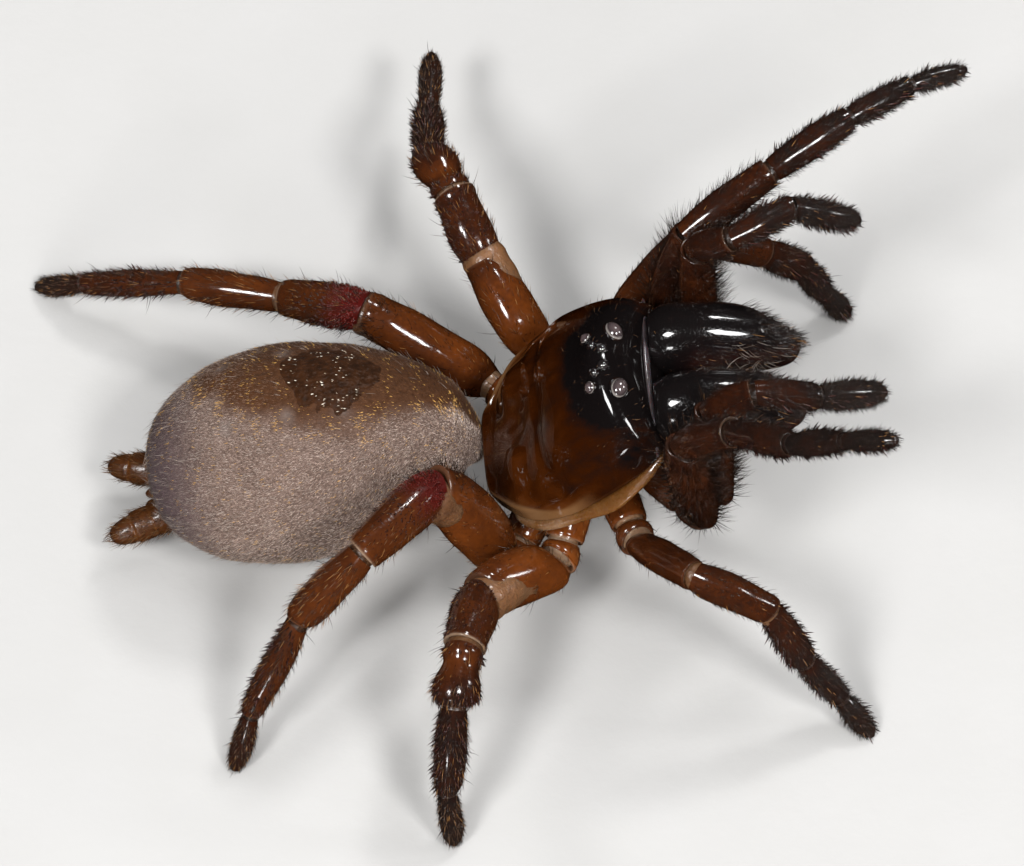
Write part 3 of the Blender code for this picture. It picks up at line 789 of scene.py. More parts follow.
def make_eyes(pearly, dark):
    polar, turns = np.linspace(0.02, pi - 0.02, 28), turns_of(40)
    for name, place in EYES.items():
        look = dark if "middle" in name else pearly
        stretch = 1.12 if name == "front_side" else 1.04
        for side, end in SIDES:
            centre, normal, radius = eye_place(place, side)
            long_way = unit(np.cross(normal, FRONT_TURN @ np.array((1.0, 0.35 * side, 0))))
            short_way = np.cross(normal, long_way)
            flat = np.outer(np.cos(turns) * stretch, long_way) + np.outer(np.sin(turns) / stretch, short_way)
            grid = np.array([centre + normal * radius * cos(p) + radius * sin(p) * flat for p in polar])
            lens = Sheet(grid, dome=np.clip(np.cos(polar), 0, 1)[:, None])
            make_shells("lens_" + name + end, "eyes", look, [lens], "eye_" + name + end)


# Body underside, sides and abdomen


def make_sternum(look, hair_look):
    top, bottom = -MARGIN_THICKNESS - GAP, -MARGIN_THICKNESS - STERNUM_DEPTH
    back, front, rows, columns = 0.45, 5.35, 70, 64
    sections = [(back, 0.5, 0.55), (0.75, 1.0, 0.85), (1.4, 1.45, 0.97), (2.6, 1.65, 1.0),
                (3.8, 1.45, 1.0), (4.6, 1.05, 0.98), (5.15, 0.7, 0.85), (front, 0.45, 0.6)]
    x = np.linspace(back, front, rows)[:, None]
    turn = turns_of(columns)[None]
    half, depth = curves_between(sections, x)
    low = top + (bottom - top) * depth
    middle, tall = (top + low) / 2, (top - low) / 2
    y = half * np.cos(turn)
    z = middle + tall * np.clip(1.3 * np.sin(turn), -1, 1)
    under = np.sin(turn) < -0.2
    lip = 0.09 * bell(x - 4.55, 0.1) * under  # the groove before the lip
    pits = sum(bell(x - px, 0.14) * bell(np.abs(y) - py, 0.12) for px, py in ((1.5, 0.8), (2.5, 1.0), (3.5, 0.9)))
    z = z + lip + 0.05 * pits * under
    sheet = Sheet(to_row(np.stack([x + 0 * y, y, z], -1)), tone=0.35 + 0.2 * bell(x - 5.0, 0.5), rim=0.0)
    make_shells("sternum_shell", "sternum", look, [sheet], "sternum")
    make_hair("sternum_hair", "sternum", hair_look, draws("sternum"), sheet, 420, under + 1e-6, (0.15, 0.4),
              0.009, 40, bend=0.2, rings=2)


def make_flange(look):
    """The soft fold under the carapace's margin, all the way round from one side of the waist to the other."""
    half_count, head_end, waist_end, straight = 70, 5.9, 0.35, 6
    ahead = np.linspace(head_end, waist_end, half_count)
    ahead = np.concatenate([ahead, np.linspace(waist_end, head_end, half_count)[1:]])
    number, turning = np.arange(len(ahead)), half_count - 1
    half = carapace_half_width(ahead)
    y = np.where(number > turning, 1.0, -1.0) * half
    # Straight across behind the carapace
    y[np.abs(number - turning) < straight] = np.linspace(
        y[turning - straight], y[turning + straight], 2 * straight + 1)[1:-1]
    wide = 0.17 + 0.07 * bell(ahead - 1.6, 0.9) + 0.15 * bell(ahead - 4.0, 1.1)
    path = np.stack([ahead, y * (1 + (wide - 0.28) / half), -0.2 - 0.1 * wide], 1)
    ways = np.gradient(path, axis=0)
    path, ways = to_row(path), ways @ FRONT_TURN.T
    taper = np.minimum(1, 0.25 + np.minimum(number, number[-1] - number) / 10)
    stations = [(p, w, a * t, 0.15 * t) for p, w, a, t in zip(path, ways, wide, taper)]
    grid = tube(stations, FRONT_TURN @ np.array((0, 0, 1.0)), 24)
    grid = grid + 0.02 * lumps(grid, 0.5, 3)[..., None] * FRONT_TURN[:, 2]
    tone = 0.25 + 0.5 * step(2.0, 3.6, ahead)
    make_shells("side_membrane", "sternum", look, [Sheet(grid, tone=tone[:, None])])


def abdomen_sheet():
    """Abdomen and waist as one skin: its front end narrows and runs on as the pedicel."""
    rows, waist_rows, columns = 190, 12, 220
    axis = heading(ABDOMEN_YAW, ABDOMEN_PITCH)
    up = unit(np.array((0, 0, 1.0)) - axis * axis[2])
    side = np.cross(axis, up)
    shares, turns = eased(0.012, 0.955, rows), turns_of(columns)
    radii = ABDOMEN_RADIUS * np.sin(pi * shares**0.8) ** 0.48 - COAT_DEPTH
    waist_start = np.array((3.6, 0.25, 2.5)) + STAND_SHIFT
    waist_end = to_row((1.2, 0, -0.95))
    drop = waist_start - (ABDOMEN_CENTRE + axis * ((waist_start - ABDOMEN_CENTRE) @ axis))
    lowered = step(0.93, 1.0, shares)[:, None]
    middles = ABDOMEN_CENTRE + np.outer((shares - 0.5) * ABDOMEN_LENGTH, axis) + lowered * drop
    grid = (middles[:, None] + radii[:, None, None] * np.cos(turns)[None, :, None] * side
            + (radii * ABDOMEN_FLATTENING)[:, None, None] * np.sin(turns)[None, :, None] * up)
    out = unit(grid - middles[:, None])
    grid = grid + out * (0.035 * lumps(grid, 1.4, 1) + 0.012 * lumps(grid, 0.5, 2))[..., None]
    angle = np.degrees(turns)[None]
    pits = sum(
        bell((shares[:, None] - s) * ABDOMEN_LENGTH, 0.2) * bell(np.radians(angle - BROWN_MIDDLE - a) * 2.7, 0.2)
        for s in (0.27, 0.46, 0.62) for a in (-34, 12)
    )
    grid = grid - out * (0.05 * pits)[..., None]
    # The waist: rings of the last one's order, from the front of the abdomen to the carapace
    begin = grid[-1].mean(0)
    way = unit(waist_end - begin)
    flat = grid[-1] - begin
    flat = unit(flat - np.outer(flat @ way, way))
    waist = []
    for t in np.linspace(0.1, 1, waist_rows):
        wide = 0.4 + 0.05 * cos(2 * pi * t)
        waist.append(begin + (waist_end - begin) * t + flat * wide * (1 - step(0.0, 0.3, t))
                     + flat * 0.4 * step(0.0, 0.3, t))
    grid = np.concatenate([grid, np.array(waist)])
    share = np.concatenate([shares, np.ones(waist_rows)])[:, None]
    on_waist = np.concatenate([np.zeros(rows), np.ones(waist_rows)])[:, None]
    pits = np.concatenate([pits, np.zeros((waist_rows, columns))])
    # Markings, by the angle away from the brown saddle's middle line and the share of the length
    away = (angle - BROWN_MIDDLE + 180) % 360 - 180
    ragged = 6 * lumps(grid, 0.5, 5)
    patch_half = 34 * np.sqrt(np.clip(1 - ((share - 0.6) / 0.15) ** 2, 0, 1))
    soft = 3 + 13 * step(-10, 16, away)
    short = 15 * step(-10, 12, away)
    past_patch = np.abs(away) - patch_half + short + ragged * 0.9 + 3 * lumps(grid, 0.16, 6)
    bald = step(soft, -soft, past_patch) * (patch_half > 0)
    spread = np.sqrt(np.clip(1 - ((share - 0.63) / 0.46) ** 2, 0, 1))
    brown = step(10, -14, np.abs(away - 10) - 55 * spread + ragged * 0.7)
    return Sheet(grid, bald=bald * (1 - on_waist), brown=brown * (1 - on_waist), rear=step(0.24, 0.03, share),
                 pit=pits, waist=on_waist, angle=angle)


def add_pile(piece, rng, sheet, covered, count):
    """The abdomen's short hair: brown on the saddle, golden round it, lightened as painted light on the front lower
    flank and the right side, with a painted highlight streak high on the front.
    """
    spots = sheet.sample(rng, count, covered)
    share, angle, brown = spots["share"], spots["angle"], spots["brown"]
    swirl = np.cross(spots["normal"], spots["along"]) * 0.3 * lumps(spots["root"], 1.6, 20)[:, None]
    lie = -spots["along"] + swirl - np.array((0, 0, 0.15))
    ragged = brown + rng.normal(0, 0.16, count) * (brown > 0.02)
    browned = step(0.3, 0.6, ragged) * (1 - 0.42 * step(0.52, 0.3, share) - 0.3 * step(118, 148, angle))
    border = 4 * brown * (1 - brown) + 0.3 * brown
    clusters = step(-0.5, 1.0, lumps(spots["root"], 0.3, 21))
    gold = rng.random(count) < clusters * (
        0.05 + 0.22 * border + 0.16 * step(0.66, 0.85, share) * bell(angle - 98, 40))
    # Painted highlight: a streak of brighter, less brown hair high on the front stands in for a glint
    painted_glint_streak = bell(share - 0.86, 0.06) * bell(angle - 72, 12)
    # Painted light: hair lightened on the front lower flank and the right side, where the leg and the body's curve
    # leave shade; the two brown terms after it are the saddle's own tone
    painted_light_and_tone = 0.32 * step(0.5, 0.85, share) * bell(angle - 15, 45)
    painted_light_and_tone = painted_light_and_tone + 0.08 * bell(angle, 50) + 0.16 * brown * step(0.5, 0.3, share)
    painted_light_and_tone = painted_light_and_tone - 0.2 * brown * step(0.66, 0.74, share)
    piece.add_hairs(rng, spots, lie, rng.uniform(0.09, 0.17, count), 0.005 + 0.005 * gold, 14, spread=0.16,
                    rear=spots["rear"], brown=browned * (1 - 0.9 * painted_glint_streak), gold=gold * 1.0,
                    bright=0.5 * painted_glint_streak + painted_light_and_tone)


def make_abdomen(skin_look, looks):
    sheet = abdomen_sheet()
    values = sheet.values
    make_shells("abdomen_skin", "abdomen", skin_look, [sheet], "abdomen", "pedicel")
    covered = (1 - 0.97 * step(0.35, 0.6, values["bald"])) * (1 - values["waist"])
    covered = covered * (1 - 0.4 * values["pit"]) * (1 - 0.45 * values["brown"])
    covered = covered * (sheet.grid[..., 2] > 0.12)
    for number in range(PILE_PIECES):
        pile = Piece()
        add_pile(pile, draws("pile", number), sheet, covered, PILE_HAIRS)
        pile.make(f"abdomen_pile_{number + 1}", "abdomen", [looks["abdomen pile"]], coat=True)
    # Painted glints on the bare patch: tiny near-white spikes that stand in for highlights
    rng, count = draws("painted_glints"), 180
    wet = step(0.5, 0.9, values["bald"]) * (0.1 + step(136, 108, values["angle"]))
    spots = sheet.sample(rng, count, wet * step(-0.3, 0.8, lumps(sheet.grid, 0.6, 22)))
    painted_glints = Piece()
    painted_glints.add_hairs(rng, spots, -spots["along"], rng.uniform(0.05, 0.1, count),
                     rng.uniform(0.012, 0.026, count), 14, sides=5, rings=2)
    painted_glints.make("abdomen_painted_glints", "abdomen", [looks["painted glint"]], coat=True)
    rng, count = draws("fringe"), 1500
    flanks = 0.25 + np.abs(np.cos(np.radians(values["angle"]))) ** 3 + values["rear"]
    spots = sheet.sample(rng, count, covered * flanks)
    lie = -spots["along"] + 0.2 * rng.normal(size=(count, 3))
    fringe = Piece()
    fringe.add_hairs(rng, spots, lie, rng.uniform(0.2, 0.42, count), 0.007, 34, bend=0.25, rings=3,
                     spread=0.18, rear=spots["rear"] * 0.3)
    fringe.make("abdomen_fringe", "abdomen", [looks["abdomen fringe"]], coat=True)


def make_spinnerets(look, hair_look):
    long_girth = [(0, 0.44), (0.3, 0.47), (0.42, 0.43), (0.46, 0.45), (0.66, 0.43), (0.7, 0.37), (0.74, 0.38),
                  (0.88, 0.31), (0.96, 0.22), (1, 0.1)]
    short_girth = [(0, 0.2), (0.6, 0.19), (0.9, 0.13), (1, 0.05)]
    shares = np.linspace(0, 1, 60)
    rings = bell(shares - 0.43, 0.02) + bell(shares - 0.7, 0.02)

    def cone(root, way, length, girth, sides):
        radii = smooth_between(girth, shares)
        return tube([(root + way * length * s, way, r, r) for s, r in zip(shares, radii)], (0, 0, 1), sides)

    for side, end in SIDES:
        root = np.array((-3.6, -0.55 + 0.55 * side, 1.35)) + STAND_SHIFT
        sheet = Sheet(cone(root, heading(186 - 16 * side, -8), 2.1, long_girth, 36),
                      tone=(0.45 + 0.25 * shares - 0.35 * rings)[:, None])
        # The short middle spinneret beside the long one
        small_root = root + np.array((-0.1, -0.42 * side, -0.25))
        small = Sheet(cone(small_root, heading(183 - 4 * side, -14), 0.95, short_girth, 20), tone=0.5)
        make_shells("spinneret_skin" + end, "spinnerets", look, [sheet, small], "spinneret" + end)
        make_hair("spinneret_hair" + end, "spinnerets", hair_look, draws("spinneret", side), sheet, 420, 1.0,
                  (0.2, 0.4), 0.009, 32, bend=0.1, rings=2)


# Chelicerae


def chelicera_frame(side):
    """A chelicera's root, the way it points, and its underside's way."""
    x, y, z = CHELICERA_ROOT
    along = FRONT_TURN @ heading(-CHELICERA_TOE_IN * side, CHELICERA_PITCH)
    down = -(FRONT_TURN @ heading(0, CHELICERA_PITCH + 90))
    return to_row((x, y * side, z)), along, down


def make_chelicera(side, end, looks):
    """One jaw: it tapers on its outer side and droops at its tip, with a hairy groove along its inside."""
    rng = draws("chelicera", side)
    root, along, down = chelicera_frame(side)
    shares = np.concatenate([np.linspace(0.02, 0.9, 66), 0.9 + 0.1 * np.sin(np.linspace(0.1, pi / 2, 14))])
    widths, heights = curves_between(CHELICERA_SECTIONS, shares)
    stations = [(root + along * CHELICERA_LENGTH * s, along, w, h) for s, w, h in zip(shares, widths, heights)]
    stations.append((root + along * CHELICERA_LENGTH * 1.012, along, 0.16, 0.17))
    columns = 72
    grid = tube(stations, FRONT_TURN @ np.array((0, 0, 1.0)), columns)
    shares = np.append(shares, 1.0)[:, None]
    turns = turns_of(columns)[None]
    inner_turn = 0.0 if side > 0 else pi
    inward = np.cos(turns - inner_turn)
    middle = grid.mean(1, keepdims=True)
    taper = 1 - 0.06 * np.clip(inward, 0, 1) ** 2 - 0.38 * step(0.55, 1.0, shares) * np.clip(-inward, 0, 1)
    pointed = step(0.72, 1.0, shares)
    grid = middle + (grid - middle) * (taper * (1 - 0.25 * pointed))[..., None]
    grid = grid + down * 0.24 * pointed[..., None]
    grid = grid + unit(grid - middle) * (0.012 * lumps(grid, 0.6, 7))[..., None]
    groove = bell(np.degrees(np.angle(np.exp(1j * (turns - inner_turn)))) * side - 22, 26)
    groove = groove * step(0.12, 0.35, shares)
    tip = step(0.82, 1.0, shares)
    sheet = Sheet(grid, tone=np.clip(1 - 0.4 * groove - 0.55 * tip, 0, 1), groove=groove)
    piece = Piece()
    piece.add_sheet(sheet)
    # Short stout digging teeth over the end
    upward = np.clip(np.sin(turns), 0, 1) ** 2
    piece.grow(rng, sheet, 34, upward * step(0.8, 0.86, shares) * step(1.0, 0.96, shares), (0.16, 0.26), 0.042,
               42, bend=0.1, rings=4, sides=7, spread=0.05, tone=0.9)
    piece.make("chelicera_shell" + end, "chelicerae", [looks["chelicera"]], ["chelicera" + end])
    hair = Piece()
    outer = np.clip(-inward + 0.4, 0, 1)
    for count, weight, length, radius, lift, bend, look, golden in (
        (420, step(0.55, 0.9, shares) * (upward * 0.9 + outer * 0.6), (0.2, 0.5), 0.009, 44, 0.1, 0, 0.02),
        (380, groove * step(0.2, 0.4, shares), (0.16, 0.34), 0.0065, 34, 0.3, 0, 0.01),
        (22, groove * step(0.35, 0.6, shares), (0.4, 0.65), 0.0065, 70, 0.5, 1, 0.0),
        (160, step(0.86, 0.95, shares) * (0.4 + upward), (0.22, 0.45), 0.010, 40, 0.0, 0, 0.05),
        (260, 0.1 + groove, (0.12, 0.24), 0.006, 30, 0.1, 0, 0.03),
    ):
        spots = sheet.sample(rng, count, weight + 1e-6)
        lie = spots["along"] + 0.25 * rng.normal(size=(count, 3))
        hair.add_hairs(rng, spots, lie, rng.uniform(*length, count), radius, lift, bend=bend, rings=3, look=look,
                       gold=(rng.random(count) < golden) * 1.0, bright=0.0 if look else -0.45)
    hair.make("chelicera_hair" + end, "chelicerae", [looks["dark bristle"], looks["pale hair"]], coat=True)


def make_fang(side, end, look):
    root, along, down = chelicera_frame(side)
    t = np.linspace(0, 1, 60)
    marks = np.linspace(0, 1, len(FANG_PATH))
    share, below, radius = curves_between([(mark, *row) for mark, row in zip(marks, FANG_PATH)], t)
    path = root + np.outer(share * CHELICERA_LENGTH, along) + np.outer(below, down)
    sheet = Sheet(curve_tube(path, np.maximum(radius, 0.02), 24), tone=(0.95 - 0.5 * (1 - t) ** 2)[:, None])
    make_shells("fang_shell" + end, "chelicerae", look, [sheet], "fang" + end)


# Limbs


def limb_joints(name, kind, side):
    """The points from the sternum to the limb's tip, with the trochanter's start put in."""
    start, root = (np.array((x, y * side, z)) for x, y, z in COXAE[kind])
    root = root + np.array(SWUNG_COXAE.get(name, (0, 0, 0)))
    start, root = to_row(start), to_row(root)
    points = [start, start + (root - start) * TROCHANTER_SHARE, root]
    for length, (azimuth, rise) in zip(LIMB_SHAPES[kind][0], STANCE[name]):
        if rise is None:
            rise = -degrees(asin(min(1, max(-1, (points[-1][2] - FOOT_HEIGHT) / length))))
        points.append(points[-1] + heading(azimuth, rise) * length)
    return points


def limb_segments(name, kind, side):
    """Each segment as a dictionary: its name, ends, way, up, half height and its bends at both ends."""
    points = limb_joints(name, kind, side)
    names = ["coxa", "trochanter", "femur", "patella", "tibia", "metatarsus", "tarsus"]
    if kind == "palp":
        names.remove("metatarsus")
    coxa, *later = LIMB_SHAPES[kind][1]
    heights = [coxa, coxa * 0.97, *later]
    ways = [unit(b - a) for a, b in zip(points, points[1:])]
    up, before = Vector(FRONT_TURN[:, 2]), Vector(ways[0])
    segments = []
    for i, segment in enumerate(names):
        way = Vector(ways[i])
        half_way = (before + way).normalized()
        up = half_way.rotation_difference(way) @ (before.rotation_difference(half_way) @ up)
        up = (up - way * up.dot(way)).normalized()
        before = way
        segments.append({
            "name": segment, "start": points[i], "end": points[i + 1], "way": ways[i], "up": np.array(up),
            "side": np.array(way.cross(up)), "height": heights[i],
            "length": float(np.linalg.norm(points[i + 1] - points[i])),
        })
    return segments


def joint_cut(segment, inner, other_way, turns, lip, open_share):
    """How much shorter each line along a segment is at a joint, so that its rim lies in the bend's middle plane.
    inner points to the inside of the bend, where the rim opens by a share of the segment's height."""
    lean = min(1.0, tan(np.arccos(np.clip(segment["way"] @ other_way, -1, 1)) / 2))
    open_share = 0.22 * lean if open_share is None else open_share
    facing = np.cos(turns) * (inner @ segment["side"]) + np.sin(turns) * (inner @ segment["up"])
    return segment["height"] * lean * facing * 0.8 + lip + open_share * segment["height"] * np.clip(facing, 0, 1)


def segment_sheet(segment, before, after, kind, tones):
    """One segment's shell. Its rims lean with the bends, and its lip turns in over the membrane."""
    height, name = segment["height"], segment["name"]
    form = SEGMENTS[name]
    rows, turns = 34, turns_of(40)
    start_in = end_in = 0 * turns
    if before is not None:
        inner = unit(segment["way"] - before["way"])
        start_in = joint_cut(segment, inner, before["way"], turns, 0.06, None)
    if after is not None:
        inner = unit(after["way"] - segment["way"])
        open_share = 0.7 if name == "femur" and kind in BACK_LEGS else None
        end_in = joint_cut(segment, inner, after["way"], turns, 0.05, open_share)
    t = eased(0, 1, rows)
    saddled = kind == "leg_3" and name == "tibia"
    first = JOINT_SHARE * min(1.0, before["height"] / height) if before is not None else 0.85
    last = 0.9 * min(1.0, after["height"] / height * 1.08) if after is not None else 0.5
    girth = smooth_between([(0, first), *(SADDLED_TIBIA if saddled else form.girth), (1, last)], t)
    along = start_in[None] + (segment["length"] - start_in - end_in)[None] * t[:, None]
    if after is not None:  # a slight collar, and then the lip
        girth = girth + 0.03 * bell(t - 0.94, 0.03)
        lips = ((0.9, 0.01), (0.78, 0.06), (0.7, 0.16))
    else:
        lips = ((0.78, -0.06), (0.5, -0.11), (0.2, -0.13))
    girth = np.concatenate([[girth[0] * 0.6, girth[0] * 0.88], girth, [girth[-1] * g for g, _ in lips]])
    along = np.concatenate([along[:1] + 0.1, along[:1] + 0.015, along, *[along[-1:] - back for _, back in lips]])
    share = np.concatenate([[0, 0], t, [1, 1, 1]])
    across = height * form.width * girth[:, None] * np.cos(turns)
    over = height * girth[:, None] * np.sin(turns)
    grid = (segment["start"] + along[..., None] * segment["way"] + across[..., None] * segment["side"]
            + over[..., None] * segment["up"])
    grid = grid + unit(grid - grid.mean(1, keepdims=True)) * (0.016 * lumps(grid, 0.7, 9))[..., None]
    arch = {"femur": 0.1, "patella": 0.1, "tibia": 0.04}.get(name, 0.0)
    grid = grid + (arch * height * np.sin(pi * share))[:, None, None] * segment["up"]
    share = share[:, None]
    top = np.broadcast_to(np.sin(turns), grid.shape[:2])
    tone = tones[0] + (tones[1] - tones[0]) * share + 0.06 * top
    if saddled:
        tone = tone - 0.25 * bell(share - 0.3, 0.2) * step(-0.1, 0.4, top)
    rim = step(0.975, 0.998, share) * (form.rim * (1.0 if kind in BACK_LEGS else 0.2))
    maroon = kind == "leg_4" and name == "patella"
    red = step(0.5, 0.12, share) * step(-0.5, 0.3, top) if maroon else 0.0
    return Sheet(grid, tone=np.clip(tone, 0, 1), rim=rim, red=red, top=top, at=share)


def membrane_sheet(near, far, tone):
    """The soft sleeve that joins two segments, bent between them."""
    radius = min(near["height"], far["height"]) * JOINT_SHARE * 0.9
    swell = 0.28 if near["name"] == "femur" and near["height"] > 0.65 else 0.0  # fills the back legs' open knees
    reach = 0.85 * min(near["height"], far["height"]) + 0.12
    joint = near["end"]
    t = np.linspace(0, 1, 14)[:, None]
    start, end = joint - near["way"] * (reach + 2.8 * swell), joint + far["way"] * reach
    path = (1 - t) ** 2 * start + 2 * t * (1 - t) * joint + t**2 * end
    folds = radius * (1 + 0.03 * np.cos(t[:, 0] * 6 * pi)) * (1 + swell * step(0.9, 0.55, t[:, 0]))
    return Sheet(curve_tube(path, folds, 28, near["up"]), tone=tone)


def claw_sheets(segment):
    """Two curved claws at the tip, and a small one below them."""
    tip, way = segment["end"], segment["way"]
    down = np.array((0, 0, -1.0)) - way * -way[2]
    down = unit(down) if np.linalg.norm(down) > 0.2 else segment["side"]
    across = unit(np.cross(way, down))
    t = np.linspace(0, 1, 10)
    sheets = []
    for shift, size in ((0.07, 1.0), (-0.07, 1.0), (0.0, 0.5)):
        path = (tip + across * shift - way * 0.05 + np.outer(t * 0.26 * size, way)
                + np.outer((t**2 * 0.16 - 0.05) * size, down) + np.outer(t * shift * 0.6, across))
        sheets.append(Sheet(curve_tube(path, 0.03 * size * (1 - t) + 0.006, 8), tone=0.95))
    return sheets


def make_limb(kind, side, end, number, looks):
    name = kind + end
    rng = draws("limb", number)
    segments = limb_segments(name, kind, side)
    shell, hair = Piece(), Piece()
    for i, segment in enumerate(segments):
        before = segments[i - 1] if i > 0 else None
        after = segments[i + 1] if i + 1 < len(segments) else None
        start_tone, following = TONES[kind][i:i + 2]
        tones = (start_tone, start_tone + 0.6 * (following - start_tone))
        sheet = segment_sheet(segment, before, after, kind, tones)
        shell.add_sheet(sheet)
        if after is not None:
            dark = SEGMENTS[segment["name"]].membrane + DARKER_MEMBRANES.get(kind, 0.0)
            shell.add_sheet(membrane_sheet(segment, after, dark), 1)
        add_segment_hair(rng, hair, sheet, segment["name"], kind, (i, len(segments)))
    for claw in claw_sheets(segments[-1]):
        shell.add_sheet(claw)
    shell.make(name + "_shell", "legs", [looks["shell"], looks["membrane"]], [name])
    hair.make(name + "_hair", "legs", [looks["dark bristle"], looks["spine"]], coat=True)


def add_segment_hair(rng, hair, sheet, segment, kind, chart):
    """Hairs, rows of spines and spinules of one segment."""
    density, length, lift = SEGMENTS[segment].hairs
    front, tips = kind in FRONT_LIMBS, segment in ("metatarsus", "tarsus")
    if front:  # short and dense, as a brush
        denser, shorter, radius, golden = 2.0, 0.6, 0.0095, 0.02
        shade = -0.35 if kind == "leg_2" else -0.5
    else:
        denser, shorter, radius = {"metatarsus": 1.4, "tarsus": 2.0}.get(segment, 1.15), 0.75, 0.008
        shade, golden = (-0.15, 0.04) if tips else (0.0, 0.16)
    density, length = density * denser, length * shorter
    at, top, area = sheet.values["at"], sheet.values["top"], sheet.cell_areas().sum()
    on_shell = step(0.0, 0.04, at) * step(1.0, 0.97, at) + 1e-6

    def grow(count, weight, lengths, thick, stand, bend, rings=2, **more):
        hair.grow(rng, sheet, count, on_shell * weight, lengths, thick, stand, bend=bend, rings=rings, chart=chart,
                  **more)

    many = int(density * area)
    spots = sheet.sample(rng, many, on_shell)
    if kind == "leg_3" and segment == "tibia":  # the saddle is nearly bare
        keep = rng.random(many) > 0.9 * bell(spots["at"] - 0.32, 0.2) * step(-0.2, 0.3, spots["top"])
        spots = {k: v[keep] for k, v in spots.items()}
        many = len(spots["root"])
    gold = (rng.random(many) < golden) * 1.0
    hair.add_hairs(rng, spots, spots["along"], length * rng.uniform(0.55, 1.2, many), radius, lift, bend=0.12,
                   rings=2, chart=chart, gold=gold, bright=shade)
    long_ones = int(area * (0.6 if front else 1.3))
    spots = sheet.sample(rng, long_ones, on_shell * (0.3 + np.clip(top, 0, 1)))
    hair.add_hairs(rng, spots, spots["along"], length * rng.uniform(1.4, 2.2, long_ones), 0.010, 58, bend=0.2,
                   rings=3, chart=chart, bright=-0.3)
    brush = {"tibia": 60, "metatarsus": 150, "tarsus": 240}.get(segment)
    if front and brush:
        grow(int(brush * area), 1.5 - top, (0.14, 0.28), 0.009, 58, 0.1, bright=-0.5)
        flanks = bell(np.abs(top) - 0.25, 0.3)  # two bands of spines, one on each flank
        grow(int(9 * area), flanks, (0.16, 0.36), 0.024, 46, 0.1, 3, sides=5, spread=0.08, look=1)
    if kind == "leg_4" and segment in ("femur", "patella"):  # the knee's fan
        ends = step(0.35, 0.1, at) if segment == "patella" else step(0.7, 0.95, at)
        grow(70, ends * step(0.1, 0.6, top), (0.3, 0.6), 0.010, 72, 0.3, 3, bright=-0.4)
    if kind in ("palp", "leg_1") and segment in ("femur", "patella"):
        extra, reach = (84, (0.4, 0.85)) if segment == "femur" else (46, (0.25, 0.5))
        grow(int(extra * area), 1.2 - np.clip(top, -0.2, 1), reach, 0.0085, 52, 0.15, bright=-0.4)
    # Spinules: where they stand, how many, and their length
    spinules = {
        ("leg_4", "patella"): (
            sheet.values["red"] + 0.45 * step(0.8, 0.4, at) * step(-0.3, 0.4, top), 760, (0.08, 0.13)),
        ("leg_3", "patella"): (step(-0.1, 0.4, top), 260, (0.06, 0.14)),
        ("leg_3", "tibia"): (step(0.55, 0.75, at) + bell(at, 0.12), 230, (0.09, 0.2)),
        ("leg_3", "metatarsus"): (step(-0.2, 0.6, top), 130, (0.14, 0.3)),
        ("leg_4", "metatarsus"): (step(-0.2, 0.6, top), 130, (0.14, 0.3)),
    }.get((kind, segment))
    if spinules:
        where, count, size = spinules
        spots = sheet.sample(rng, count, on_shell * where)
        hair.add_hairs(rng, spots, spots["along"], rng.uniform(*size, count), 0.022, 50, rings=2, sides=5,
                       spread=0.08, look=1, chart=chart, red=spots["red"])


# Stage


def make_floor(look):
    size = 0.6
    mesh = bpy.data.meshes.new("studio_floor")
    low = -0.01 * MM
    mesh.from_pydata([(-size, -size, low), (size, -size, low), (size, size, low), (-size, size, low)], [],
                     [(0, 1, 2, 3)])
    mesh.materials.append(look)
    floor = bpy.data.objects.new("studio_floor", mesh)
    bpy.context.scene.collection.objects.link(floor)
    floor.visible_glossy = False


def add_light(name, place, size, power, colour=(1, 1, 1), glossy=True):
    """A square soft light, aimed at the spider. Its place and size are in millimetres."""
    light = bpy.data.lights.new(name, "AREA")
    light.size, light.energy, light.color = size * MM, power, colour
    made = bpy.data.objects.new(name, light)
    made.location = Vector(place) * MM
    made.rotation_mode = "QUATERNION"
    made.rotation_quaternion = (VIEW_TARGET - Vector(place)).to_track_quat("-Z", "Y")
    made.visible_camera, made.visible_glossy = False, glossy
    bpy.context.scene.collection.objects.link(made)


def from_camera(right, up, back):
    """A place in millimetres, from the view's target, along the camera's own directions."""
    e = radians(VIEW_ELEVATION)
    return VIEW_TARGET + Vector((right, up * sin(e) - back * cos(e), up * cos(e) + back * sin(e)))


def light_stage():
    """A flash-like pair of soft lights beside the camera, three small ones for glints, and large fill lights
    that leave no reflection."""
    add_light("key_left", from_camera(-125, 0, 270), 66, 0.60)
    add_light("key_right", from_camera(125, 0, 270), 66, 0.52)
    add_light("ahead", VIEW_TARGET + Vector((262, 22, 105)), 40, 0.12)
    add_light("low", from_camera(-70, -200, 185), 36, 0.10)
    add_light("front", from_camera(-20, -190, 200), 200, 0.42, glossy=False)
    add_light("key_top", VIEW_TARGET + Vector((100, 145, 230)), 44, 0.26)
    add_light("overhead", (20, 130, 330), 260, 0.42, (0.97, 0.98, 1.0), glossy=False)
    world = bpy.data.worlds.new("studio")
    bpy.context.scene.world = world
    world.use_nodes = True
    background = world.node_tree.nodes["Background"]
    background.inputs["Color"].default_value = (0.95, 0.97, 1.0, 1)
    background.inputs["Strength"].default_value = 0.22
    world.cycles_visibility.glossy = False
    bpy.context.scene.view_settings.view_transform = "Standard"


def add_camera():
    camera = bpy.data.cameras.new("camera")
    camera.lens, camera.sensor_width = VIEW_LENS, 36
    camera.clip_start, camera.clip_end = 0.01, 5
    made = bpy.data.objects.new("camera", camera)
    back = Vector((0, -cos(radians(VIEW_ELEVATION)), sin(radians(VIEW_ELEVATION))))
    made.location = (VIEW_TARGET + back * VIEW_DISTANCE) * MM
    made.rotation_mode = "QUATERNION"
    made.rotation_quaternion = (-back).to_track_quat("-Z", "Y")
    bpy.context.scene.collection.objects.link(made)
    bpy.context.scene.camera = made


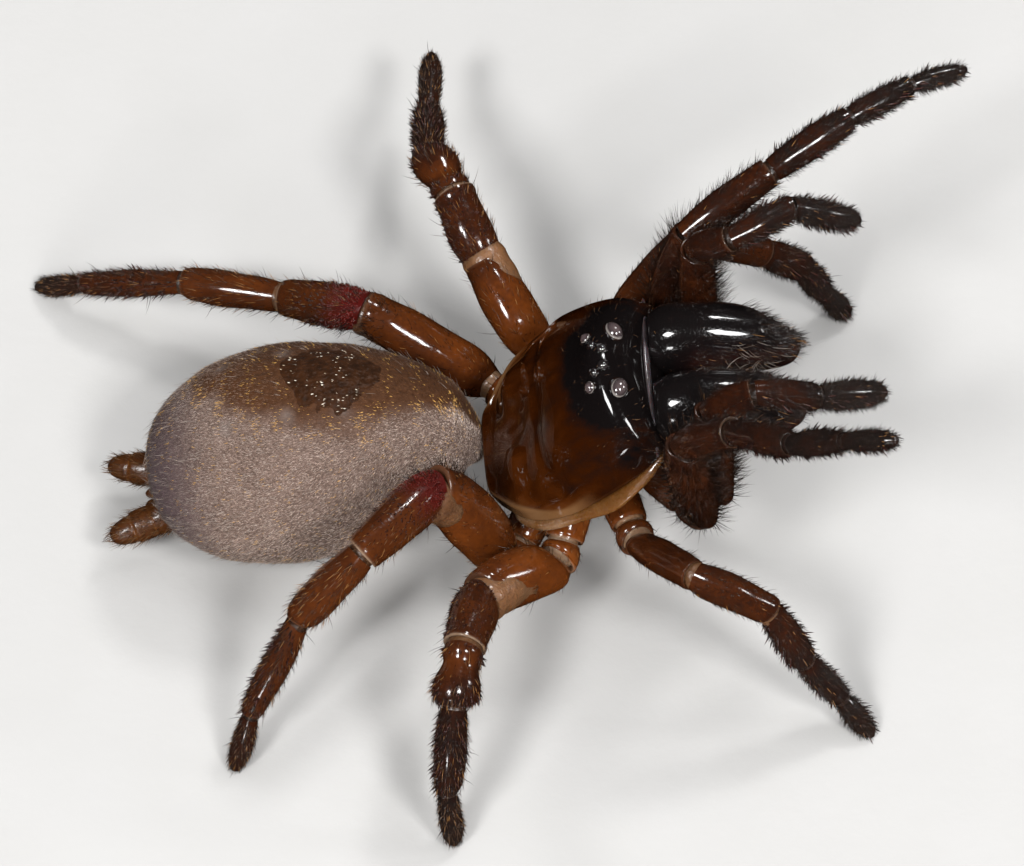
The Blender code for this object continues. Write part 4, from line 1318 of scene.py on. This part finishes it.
def main():
    looks = {"shell": shell_look(), "membrane": membrane_look(), "chelicera": chelicera_look()}
    for name, stops, roughness, more in (
        ("dark bristle", [(0.0, (0.01, 0.007, 0.006)), (0.25, (0.025, 0.013, 0.008)), (0.65, (0.075, 0.033, 0.015)),
                          (0.95, (0.24, 0.13, 0.065))], 0.2, {"gold": (0.45, 0.22, 0.07), "gloss": 0.8}),
        ("spine", [(0.2, (0.012, 0.005, 0.004)), (0.9, (0.05, 0.012, 0.008))], 0.25, {}),
        ("pale hair", [(0.1, (0.2, 0.14, 0.1)), (0.9, (0.62, 0.55, 0.48))], 0.35, {}),
        ("abdomen pile", [(0.0, (0.03, 0.018, 0.014)), (0.3, (0.2, 0.13, 0.098)), (0.65, (0.7, 0.51, 0.41)),
                          (1.0, (1.0, 0.87, 0.77))], 0.4, {"gloss": 0.3}),
        ("abdomen fringe", [(0.1, (0.12, 0.085, 0.07)), (0.9, (0.5, 0.42, 0.36))], 0.4, {}),
        # painted glint: a near-white hair look that stands in for highlights on the bare patch
        ("painted glint", [(0.0, (0.55, 0.42, 0.28)), (0.9, (0.95, 0.88, 0.75))], 0.2, {}),
        ("amber hair", [(0.1, (0.04, 0.015, 0.006)), (0.9, (0.2, 0.1, 0.04))], 0.35, {}),
    ):
        looks[name] = coat_look(name, stops, roughness, **more)
    pearly = lens_look("pearly lens", (0.26, 0.23, 0.21), (0.075, 0.055, 0.055), (0.035, 0.025, 0.026))
    dark = lens_look("dark lens", (0.06, 0.05, 0.05), (0.012, 0.01, 0.01), (0.02, 0.016, 0.016))
    make_carapace(carapace_look(), band_look(), looks["dark bristle"])
    make_eyes(pearly, dark)
    make_sternum(looks["shell"], looks["dark bristle"])
    make_flange(flange_look())
    make_abdomen(abdomen_look(), looks)
    make_spinnerets(amber_look(), looks["amber hair"])
    for side, end in SIDES:
        make_chelicera(side, end, looks)
        make_fang(side, end, looks["chelicera"])
    limbs = [(kind, side, end) for kind in ("palp", "leg_1", "leg_2", "leg_3", "leg_4") for side, end in SIDES]
    for number, (kind, side, end) in enumerate(limbs):
        make_limb(kind, side, end, number, looks)
    make_floor(floor_look())
    light_stage()
    add_camera()


main()
